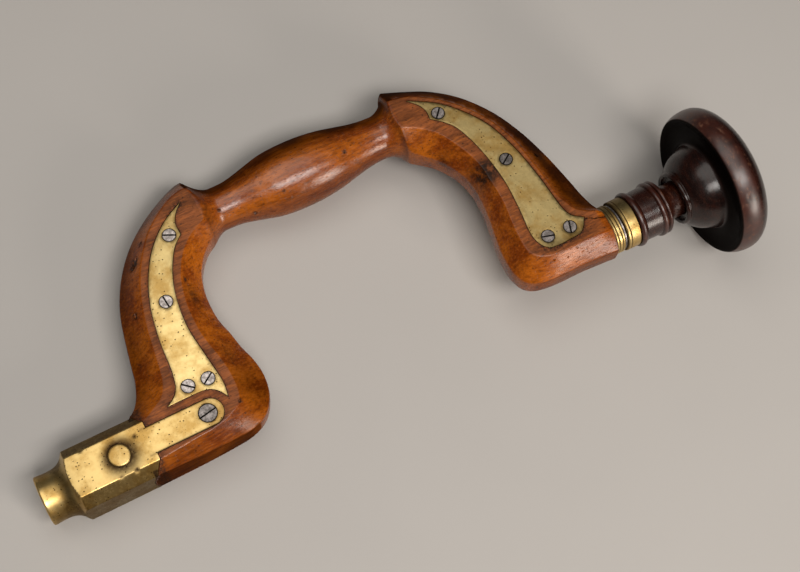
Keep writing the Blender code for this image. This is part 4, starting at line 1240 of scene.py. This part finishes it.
@dataclass
class Inlay(Trade):
    """Four shaped brass plates let into the webs, each held by four screws."""

    ease: float = 0.14
    spacing: float = 1.3
    steps: int = 8
    hole_gap: float = 0.13

    def plate(self, runs: Runs, screws: Rows) -> Shell:
        """One plate lying at height 0, with its screw holes."""
        holes = [arc((x, y), SCREW_HEAD / 2 + self.hole_gap, 360, 0, 48)[:-1] for x, y, _ in screws]
        return sheet_with_holes(outline_of(runs, self.steps), holes, PLATE_THICK, self.ease, self.spacing)

    def marks(self, obj: bpy.types.Object, runs: Runs, screws: Rows,
              is_upper: bool) -> dict[str, np.ndarray]:
        """Patina by the edges and screws, darker towards the grip and on the upper plate, and painted
        shade on the edges and underside down in the pocket.
        """
        at = local_points(obj)
        x, y, z = at.T
        holes = np.min([np.hypot(x - screw[0], y - screw[1]) for screw in screws], axis=0)
        edge = distance_to(at[:, :2], outline_of(runs, 4))
        tarnish = 0.04 + 0.30 * fade(edge, 0.7) + 0.35 * fade(holes - 3.1, 0.6)
        # Darker all over on the upper plate, most at its foot and towards the grip; the lower plate
        # darker towards the grip.
        if is_upper:
            tarnish += 0.30 + 0.35 * fade(y - 0.5, 3.0) + 0.14 * ramp(y, 55, 92)
        else:
            tarnish += 0.20 * ramp(y, 40, 88)
        # Painted shade on the plate's edges and underside, down in its pocket.
        return {"tarnish": np.clip(tarnish, 0, 0.9), "grime_and_shade": 0.9 * (np.abs(z) < HALF_THICKNESS - 0.2)}

    def build(self) -> None:
        """Builds the four plates."""
        for name, (runs, screws) in WEBS.items():
            flat = self.plate(runs, screws)
            for face in Face:
                word = face.name.lower()
                laid = flat.turned(np.diag([1.0, 1.0, face.value]), (0, 0, face.value * HALF_THICKNESS))
                obj = object_of(f"{name}_{word}_inlay", laid)
                marks = self.marks(obj, runs, screws, name == "upper")
                self.finish(obj, "plate_brass", f"{name}_{word}_plate", marks)


@dataclass
class Screws(Trade):
    """Slotted countersunk wood screws with flush heads."""

    slot_half: float = 0.36
    slot_deep: float = 0.75
    wall: float = 0.04
    ease: float = 0.16

    def shell(self, head: float, length: float) -> Shell:
        """One screw with its head at height 0 and its slot along x.

        The head is a sheet over chords of its circle: across, the chords lie at stations that
        crowd at the slot's walls; along, each is shared evenly. The height is 0, less the easing
        near the rim, and less the slot's depth between its walls. The same sheet, dropped to the
        height of the countersink and the tapering shank at each radius, closes it below.
        """
        radius, s = head / 2, self.slot_half
        outer = radius * np.sin(np.linspace(0.0, np.pi / 2, 12))
        half = np.concatenate([[0.0, s * 0.6, s, s + self.wall], outer[outer > s + 0.1]])
        y = np.concatenate([-half[:0:-1], half])[:, None] + np.zeros(21)
        x = np.sin(np.linspace(-np.pi / 2, np.pi / 2, 21)) * np.sqrt(np.maximum(radius**2 - y**2, 0.0))
        r = np.hypot(x, y)
        rim = np.clip((r - (radius - self.ease)) / self.ease, 0, 1)
        top = -self.ease * (1 - np.sqrt(np.maximum(1 - rim**2, 0.0)))
        top -= self.slot_deep * (np.abs(y) <= s + 1e-9)
        profile = screw_shape(head, length)[1:4]
        under = np.interp(r, profile[:, 1], profile[:, 0])
        shell = Shell()
        upper, lower = (shell.add(np.stack([x, y, height], -1)) for height in (top, under))
        for grid in (upper, lower[:, ::-1]):
            quads = np.stack([grid[:-1, :-1], grid[:-1, 1:], grid[1:, 1:], grid[1:, :-1]], -1)
            shell.faces += quads.reshape(-1, 4).tolist()
        shell.skin(np.stack([
            np.concatenate([grid[:, 0], grid[-1, 1:], grid[-2::-1, -1], grid[0, -2:0:-1]])
            for grid in (upper, lower)
        ]))
        return shell

    def build(self) -> None:
        """Builds sixteen plate screws and two tang screws."""
        small = self.shell(SCREW_HEAD, SCREW_LENGTH)
        large = self.shell(TANG_SCREW_HEAD, TANG_SCREW_LENGTH)
        for face in Face:
            word, is_front = face.name.lower(), face is Face.FRONT
            for web, (_, screws) in WEBS.items():
                for i, (x, y, degrees) in enumerate(screws):
                    turn = degrees if is_front else degrees * 7 % 180
                    self.drive(f"{web}_{word}_screw_{i + 1}", small, SCREW_HEAD, (x, y), turn, face)
            self.drive(f"tang_{word}_screw", large, TANG_SCREW_HEAD, (TANG_SCREW_X, 0.0),
                       10 if is_front else 115, face)

    def drive(self, name: str, shell: Shell, head: float, at: Sequence[float], degrees: float,
              face: Face) -> None:
        """Turns one screw to its angle, sinks it in its face and marks the soiling round its head and the
        painted shade in its slot and below its head.
        """
        out = float(face.value)
        turn = np.diag([1.0, out, out]) @ spun(degrees)
        obj = object_of("head_of_" + name, shell.turned(turn, (*at, out * HALF_THICKNESS)))
        x, y, z = local_points(obj).T
        radius, depth = np.hypot(x - at[0], y - at[1]), HALF_THICKNESS - z * out
        # Soiling round the rim; painted shade in the slot and below the head.
        grime_and_shade = 0.75 * ramp(radius, head / 2 - 0.45, head / 2) + 0.9 * (depth > 0.4)
        dirt_and_shade = 0.35 if head > 7 else 0.30 if name.startswith("upper") else 0.0
        grime_and_shade += dirt_and_shade + (0.25 if name == "upper_front_screw_2" else 0.0)
        self.finish(obj, "screw_steel", name, {"grime_and_shade": np.clip(grime_and_shade, 0, 0.95)})


@dataclass
class Chuck(Trade):
    """The brass chuck: an octagon turned down to a coved mouth, with two tangs over the stock."""

    chamfer_half_distance: float = 16.447
    broad: float = 32.87
    narrow: float = 12.13
    soft: float = 1.6
    sharpness: float = 120.0
    socket_mouth: float = 6.5
    socket_end: float = 4.4
    socket_deep: float = 32.0
    screw_gap: float = 0.16
    beyond: float = 20.0

    def angles(self) -> np.ndarray:
        """Angles round the section, crowded at the eight arrises."""
        arris = np.linspace(-self.soft, self.soft, 9)[1:-1]
        wide, slim = self.broad - self.soft, self.narrow - self.soft
        quarter = np.concatenate([
            np.linspace(-wide, wide, 26), self.broad + arris,
            45 + np.linspace(-slim, slim, 9), 90 - self.broad + arris,
        ])
        return np.radians(np.concatenate([quarter + 90.0 * turn for turn in range(4)]))

    def shell(self) -> Shell:
        """The skin of the chuck from the mouth to beyond the tangs.

        At each angle the radius is a soft minimum of nine: the distances along that ray to the
        eight planes of the octagon, h over cosine, and the radius of the turned profile there.
        The soft minimum is the sum of their powers -p, raised to -1/p, which rounds each arris.
        """
        near = curve_through(CHUCK_TURNING[:10], 5)
        profile = np.concatenate([near, CHUCK_TURNING[10:]])
        mouth = near[near[:, 0] < 18.0][:, 0]
        x = np.concatenate([mouth, np.arange(18.0, 52.0, 0.6), np.arange(52.0, 91.0)])
        x = np.unique(np.round(x, 4))[:, None]
        turning = np.interp(x, profile[:, 0], profile[:, 1])
        angle = self.angles()[None, :]
        planes = np.radians(45.0 * np.arange(8))[:, None]
        reach = np.where(np.arange(8) % 2 == 0, HALF_THICKNESS, self.chamfer_half_distance)[:, None]
        lean = np.maximum(np.cos(angle - planes), 1e-3) / reach
        p = self.sharpness
        radius = ((lean**p).sum(axis=0) + (1.0 / turning) ** p) ** (-1.0 / p)
        radius = radius - knocks(x, angle, CHUCK_KNOCKS)
        rings = [x + 0 * angle, radius * np.sin(angle), radius * np.cos(angle)]
        return Shell().tube(np.stack(rings, axis=-1))

    def tools(self) -> list[tuple[Shell, Cut]]:
        """Plan of the chuck and tangs, the curved shoulder, the socket and the latch's hollows."""
        tang, wide = tang_outline(0.0), self.beyond
        body = [(SHOULDER_END, TANG_HALF), (SHOULDER_END, wide), (-5.0, wide), (-5.0, -wide),
                (SHOULDER_END, -wide), (SHOULDER_END, -TANG_HALF)]
        plan = np.concatenate([body[-1:], tang[tang[:, 0] > 45], body[:-1]])
        under_tang = shoulder_outline(SHOULDER_RADIUS, HALF_THICKNESS - TANG_THICK, 95.0)
        beside_tang = shoulder_outline(SHOULDER_RADIUS, 17.5, 95.0)
        sides = prism(beside_tang, TANG_HALF, wide, True)
        sides.join(prism(beside_tang, -wide, -TANG_HALF, True))
        ends = np.array([-1.0, self.socket_deep])[:, None]
        half = self.socket_mouth - (self.socket_mouth - self.socket_end) / self.socket_deep * ends
        signs = np.array([(1, 1), (-1, 1), (-1, -1), (1, -1)], float)
        square = [ends + 0 * signs[:, 0], half * signs[:, 0], half * signs[:, 1]]
        socket = Shell().tube(np.stack(square, axis=-1))
        window = prism(np.array([(19.8, -3.6), (41.0, -3.6), (41.0, 3.6), (19.8, 3.6)]), 4.0, 11.2)
        button, pivot = (BUTTON_X, 0.0, 0.0), (PIVOT_X, 0.0, PIVOT_Z)
        quarter = np.array([[0.0, 1.0, 0.0], [1.0, 0.0, 0.0], [0.0, 0.0, -1.0]])
        hole = lathe(screw_shape(TANG_SCREW_HEAD, TANG_SCREW_LENGTH, self.screw_gap), 64)
        holes = Shell()
        for face in Face:
            holes.join(upright(hole, (TANG_SCREW_X, 0.0, face.value * HALF_THICKNESS), face))
        cutters = (
            prism(under_tang, -wide, wide, True), sides, socket, window,
            upright(rod(10.0, 20.0, BUTTON_RADIUS + 0.1, 64), button),
            upright(rod(-2.0, 6.0, 2.5, 32), button),
            rod(-8.0, 15.0, 1.1, 24).turned(quarter, pivot), holes,
        )
        return [(prism(plan, -wide, wide), Cut.KEEP), *((cutter, Cut.AWAY) for cutter in cutters)]

    def marks(self, obj: bpy.types.Object) -> dict[str, np.ndarray]:
        """Patina in the cove; patina with painted shade on the side facets and the mouth; a stain round
        the button that leans into a painted shadow; soiling by the tang and in the knocks; painted shade
        inside.
        """
        at, facing = local_points(obj), local_normals(obj)
        x, y, z = at.T
        # Painted shade on the facets that face sideways, over the patina.
        sideways = ramp(np.hypot(facing[:, 1], facing[:, 0] * 0.2), 0.45, 0.75)
        tarnish = 0.08 + 0.80 * sideways * ramp(x, 9.0, 15.0)
        # Painted shade on the parts of the mouth that face towards and away from the grip, leaving its
        # front bright.
        tarnish += (0.04 + 0.50 * ramp(np.abs(facing[:, 1]), 0.30, 0.95)) * (1 - ramp(x, 12.0, 14.5))
        # A little darker towards the mouth, darker in the cove and brighter at the lip.
        tarnish += 0.10 * ramp(x, 26.0, 15.0) + 0.50 * bell(x, 10.5, 3.0) - 0.25 * bell(x, 0.8, 1.2)
        face = np.abs(z) > HALF_THICKNESS - 0.4
        # A stain round the button; its lean towards +x and -y is a painted shadow of the button.
        lean = 1.0 + 0.3 * np.cos(np.arctan2(y, x - BUTTON_X) + 0.9)
        spread = np.maximum(np.hypot(x - BUTTON_X, y) - BUTTON_RADIUS, 0.0) / (3.3 * lean)
        grime_and_shade = face * (z > 0) * (0.85 * bell(spread, 0.0, 1.0) + 0.15 * fade(spread, 0.2))
        grime_and_shade += 0.5 * face * fade(np.hypot(x - TANG_SCREW_X, y) - 4.1, 0.7)
        grime_and_shade += 0.4 * face * (x > 48) * fade(distance_to(at[:, :2], tang_outline(0.0)), 0.5)
        # Painted shade inside the socket and the latch's hollows, and under the tangs.
        grime_and_shade += 0.75 * ((np.hypot(y, z) < 9.6) & (x < 42) | (np.abs(z) < 11.6) & (x > 46))
        grime_and_shade += 0.85 * np.clip(knocks(x, np.arctan2(y, z), CHUCK_KNOCKS) / 0.3, 0.0, 1.0)
        return {"tarnish": np.clip(tarnish, 0, 0.85), "grime_and_shade": np.clip(grime_and_shade, 0, 0.92)}

    def build(self) -> None:
        """Builds the chuck and its release button."""
        obj = object_of("chuck_octagonal_brass", self.shell())
        carve(obj, self.tools())
        self.finish(obj, "chuck_brass", "chuck_body", self.marks(obj))
        self.build_button()

    def build_button(self) -> None:
        """Turns the button: a shallow dome with a rounded rim, and the stem that tips the latch."""
        top = HALF_THICKNESS + 0.8
        dome = curve_through([(top, 0.0), (top - 0.02, 2.0), (top - 0.1, 3.8), (top - 0.28, 4.6),
                              (top - 0.62, BUTTON_RADIUS)], 5)
        turned = lathe(np.concatenate([dome, BUTTON_STEM])[::-1], 72)
        obj = object_of("button_turned", upright(turned, (BUTTON_X, 0.0, 0.0)))
        x, y, z = local_points(obj).T
        # Patina at the rim; painted shade on the parts below the face, down in the bore.
        marks = {"tarnish": 0.16 + 0.4 * ramp(np.hypot(x - BUTTON_X, y), 4.3, 4.95),
                 "grime_and_shade": 0.8 * (z < HALF_THICKNESS - 0.1)}
        self.finish(obj, "chuck_brass", "release_button", marks, Body.BUTTON)


@dataclass
class Turnery(Trade):
    """Everything turned about the spindle: ferrules, washer, neck and head."""

    segments: int = 160
    bore: float = SPINDLE_RADIUS + 0.1

    def rings(self) -> None:
        """The stock's ferrule with two turned lines, the steel washer, and the neck's ferrule with
        a rounded lip and one line. A radius dips by a narrow bell curve at each line."""
        x = np.linspace(277.9, 281.7, 39)
        radius = 11.7 - sum(0.28 * bell(x, groove, 0.22) for groove in (278.9, 280.7))
        profile = [(277.5, 11.4), *zip(x, radius), (282.0, 11.35), (282.0, self.bore), (277.5, self.bore)]
        self.ring("ferrule_of_stock", profile, "ring_brass", "stock_ferrule", (278.9, 280.7))
        profile = [(282.3, 10.8), (282.45, 11.0), (283.05, 11.0), (283.2, 10.8), (283.2, self.bore),
                   (282.3, self.bore)]
        self.ring("washer_of_thrust", profile, "screw_steel", "thrust_washer", coat="washer_steel")
        x = np.linspace(284.0, 289.9, 50)
        radius = 12.1 - 0.25 * bell(x, 285.2, 0.2) + 0.05 * np.sin((x - 284.0) / 5.9 * np.pi)
        profile = [(283.5, 11.7), *zip(x, radius), (290.2, 11.9), (290.2, 10.1), (283.5, 10.1)]
        self.ring("ferrule_of_neck", profile, "ring_brass", "neck_ferrule", (285.2,), body=Body.HEAD)

    def ring(self, name: str, profile: Rows, slot: str, stands_for: str, lines: Sequence[float] = (),
             body: Body = Body.BRACE, coat: str = "") -> None:
        """Turns one ring, with soiling in its lines and at its two ends, and painted shade on its side
        towards the grip.
        """
        rows = np.array(profile)
        obj = object_of(name, lathe(rows, self.segments, closed=True))
        x, y, _ = local_points(obj).T
        grime_and_shade = 0.75 * fade(np.minimum(x - rows[:, 0].min(), rows[:, 0].max() - x), 0.28)
        for line in lines:
            grime_and_shade += 0.8 * bell(x, line, 0.2)
        # Patina, with painted shade darkening the side towards the grip.
        marks = {"tarnish": 0.30 + 0.5 * ramp(y, -7.0, 9.0), "grime_and_shade": np.clip(grime_and_shade, 0, 0.92)}
        self.finish(obj, slot, stands_for, marks, body, coat)

    def neck(self) -> None:
        """The rosewood neck with its beads: straight runs kept, the beads smoothed."""
        rows = NECK_TURNING
        beads = [curve_through(rows[low:high], 5) for low, high in ((2, 7), (7, 12), (11, 18))]
        beads[2] = beads[2][1:]
        bore = [(319.0, self.bore), (284.2, self.bore)]
        profile = np.concatenate([rows[:2], *beads, rows[18:], bore])
        obj = object_of("neck_turned_beads", lathe(profile, self.segments, closed=True))
        _, radius = about_spindle(obj)
        self.rosewood(obj, "neck_bush", 0.3 + 0.6 * ramp(radius, 12.4, 13.3), 0 * radius)

    def head(self) -> None:
        """The mushroom head: a bulb, a hollowed underside and a rounded rim on one smooth curve.

        Its radius is worn in by shallow bell-shaped knocks near the rim.
        """
        inner = [(350.2, 9.0), (337.0, 9.0), (337.0, self.bore), (319.4, self.bore), (319.4, 8.7),
                 (317.0, 8.7)]
        crown = curve_through([(350.0, 11.0), (350.2, 9.8), (350.2, 9.0)], 3)[1:-1]
        rows = np.concatenate([curve_through(HEAD_TURNING, 6), crown, inner])
        shell = lathe(rows, self.segments, closed=True)
        x, across, up = shell.points().T
        radius = np.hypot(across, up)
        depth = knocks(x, np.arctan2(up, across), HEAD_KNOCKS) * (radius > 30)
        share = 1 - depth / np.maximum(radius, 1.0)
        shell.blocks = [np.stack([x, across * share, up * share], 1)]
        obj = object_of("head_mushroom_rosewood", shell)
        x, radius = about_spindle(obj)
        worn = 0.9 * ramp(radius, 31.0, 34.5) * ramp(x, 342.5, 337.5) + 0.25 * ramp(x, 345.0, 349.0)
        # Painted shade on the underside that faces the chuck, which also loses its sheen.
        underside_shade = ramp(-local_normals(obj)[:, 0], 0.35, 0.9) * ramp(radius, 14.0, 22.0) * (radius < 34.0)
        self.rosewood(obj, "head", np.clip(worn, 0, 1), underside_shade)

    def plug(self) -> None:
        """The turned plug that hides the spindle's nut: a shallow button with a scribed ring."""
        face = [(350.35, 0.0), (350.3, 3.0), (350.12, 5.6), (350.3, 6.0), (350.15, 8.0), (349.9, 8.6)]
        profile = np.concatenate([curve_through(face, 5), [(349.6, 8.7), (345.6, 8.7), (345.6, 0.0)]])
        obj = object_of("plug_turned", lathe(profile[::-1], 96))
        _, radius = about_spindle(obj)
        self.rosewood(obj, "head_plug", 0.5 * ramp(radius, 3.0, 8.0), 0 * radius)

    def rosewood(self, obj: bpy.types.Object, stands_for: str, worn: np.ndarray,
                 underside_shade: np.ndarray) -> None:
        """Dresses a piece of the head in rosewood."""
        self.finish(obj, "rosewood", stands_for, {"worn": worn, "underside_shade": underside_shade}, Body.HEAD)

    def build(self) -> None:
        """Builds the whole turned end."""
        for step in (self.rings, self.neck, self.head, self.plug):
            step()


@dataclass
class Ironwork(Trade):
    """The steel inside: a wound spring, and latch, pin, spindle, nut and washer in their CAD shape."""

    turns: int = 5
    steps: int = 24
    wire: float = 0.3
    coil_radius: float = 1.7
    coil_ends: tuple[float, float] = (-1.3, 4.7)
    pressed: float = 0.76

    def build(self) -> None:
        """Winds the spring and gives the CAD nodes their steel."""
        self.spring()
        for names, coat in ((("latch_lever", "latch_pin"), "latch_steel"),
                            (("spindle", "spindle_nut", "nut_washer"), "spindle_steel")):
            for name in names:
                obj = frame["nodes"][name]
                obj.data.materials.clear()
                obj.data.materials.append(self.coats[coat])
                LOG.info("%s keeps its CAD shape in %s", name, coat)

    def spring(self) -> None:
        """Winds the latch's spring.

        The wire's middle runs on a helix, (r cos a, r sin a, rising z). Round each of its points
        lies a ring: the wire's radius, times cosine outwards and sine square to that and the wire.
        """
        low, high = self.coil_ends
        angle = np.linspace(0.0, 2 * np.pi * self.turns, self.turns * self.steps + 1)
        out = np.stack([np.cos(angle), np.sin(angle), 0 * angle], 1)
        rise = np.stack([0 * angle, 0 * angle, low + (high - low) * angle / angle[-1]], 1)
        middle = self.coil_radius * out + rise
        tangent = np.gradient(middle, axis=0)
        side = np.cross(tangent / np.linalg.norm(tangent, axis=1, keepdims=True), out)
        around = (2 * np.pi * np.arange(10) / 10)[None, :, None]
        wire = out[:, None] * np.cos(around) + side[:, None] * np.sin(around)
        rings = middle[:, None] + self.wire * wire
        obj = object_of("spring_wound", Shell().tube(rings + np.array([BUTTON_X, 0.0, 0.0])))
        self.finish(obj, "latch_steel", "latch_spring")
        foot = BENCH.place(np.array([[BUTTON_X, 0.0, low - self.wire]]))[0]
        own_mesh(obj)


# ---------------------------------------------------------------- studio


@dataclass(frozen=True)
class Softbox:
    """A soft light: where it stands from the middle of the brace, its size and its power."""

    name: str
    towards: tuple[float, float, float]
    distance: float
    size: tuple[float, float]
    watts: float
    colour: str = "#FFFAF2"

    def place(self) -> None:
        """Hangs the light and turns it to the brace."""
        lamp = bpy.data.lights.new(self.name, "AREA")
        lamp.shape, lamp.size, lamp.size_y = "RECTANGLE", *self.size
        lamp.energy, lamp.color = self.watts, linear(self.colour)[:3]
        obj = placed(self.name, lamp)
        way = BENCH.direction(self.towards).normalized()
        obj.location = Vector(BENCH.place(np.array([BRACE_MIDDLE]))[0]) + way * self.distance
        obj.rotation_euler = way.to_track_quat("Z", "Y").to_euler()


@dataclass(frozen=True)
class Studio:
    """A plain pale floor, soft lights and the camera."""

    floor_half: float = 3.0
    lights: tuple[Softbox, ...] = (
        Softbox("overhead_soft", (-0.05, 0.15, 0.985), 1.3, (1.0, 1.0), 5.6),
        Softbox("low_soft", (0.40, -0.886, 0.235), 1.08, (0.26, 0.42), 4.3, "#FFF4E8"),
        Softbox("front_fill", (0.05, -0.52, 0.85), 1.5, (0.95, 0.42), 14.0, "#FFFAF4"),
    )
    surround: str = "#B4B6BA"
    ambient: float = 0.10
    sensor_mm: float = 36.0

    def build_floor(self, coat: bpy.types.Material) -> None:
        """One large flat card at the height the brace rests on."""
        mesh = bpy.data.meshes.new("floor")
        h = self.floor_half
        mesh.from_pydata([(-h, -h, 0.0), (h, -h, 0.0), (h, h, 0.0), (-h, h, 0.0)], [], [(0, 1, 2, 3)])
        floor = placed("floor", mesh)
        mesh.materials.append(coat)

    def build_world(self) -> None:
        """An even dim surround."""
        world = bpy.data.worlds.new("studio")
        world.use_nodes = True
        back = world.node_tree.nodes["Background"]
        back.inputs["Color"].default_value = linear(self.surround)
        back.inputs["Strength"].default_value = self.ambient
        bpy.context.scene.world = world

    def build_camera(self) -> None:
        """The camera, from its axes in the brace's own frame."""
        data = bpy.data.cameras.new("camera")
        data.sensor_width, data.lens = self.sensor_mm, self.sensor_mm * CAMERA_FOCAL_SHARE
        data.clip_start, data.clip_end = 0.01, 20.0
        right, down, forward = map(BENCH.direction, (CAMERA_RIGHT, CAMERA_DOWN, CAMERA_FORWARD))
        axes = (right, -down, -forward)
        turn = Matrix([[axis[i] for axis in axes] for i in range(3)]).to_quaternion().to_matrix().to_4x4()
        obj = placed("camera", data)
        obj.matrix_world = Matrix.Translation(Vector(BENCH.place(np.array([CAMERA_AT]))[0])) @ turn
        bpy.context.scene.camera = obj

    def build(self, coats: Mapping[str, bpy.types.Material]) -> None:
        """Sets up floor, surround, lights and camera."""
        bpy.context.scene.view_settings.view_transform = "Standard"
        self.build_floor(coats["floor"])
        self.build_world()
        for light in self.lights:
            light.place()
        self.build_camera()


def main() -> None:
    """Builds every piece around the frame."""
    logging.basicConfig(level=logging.INFO, format="%(message)s")
    coats = {name: finish.make() for name, finish in FINISHES.items()}
    for trade in (Stock, Inlay, Screws, Chuck, Turnery, Ironwork):
        trade(coats).build()
    Studio().build(coats)


if __name__ == "__main__":
    main()
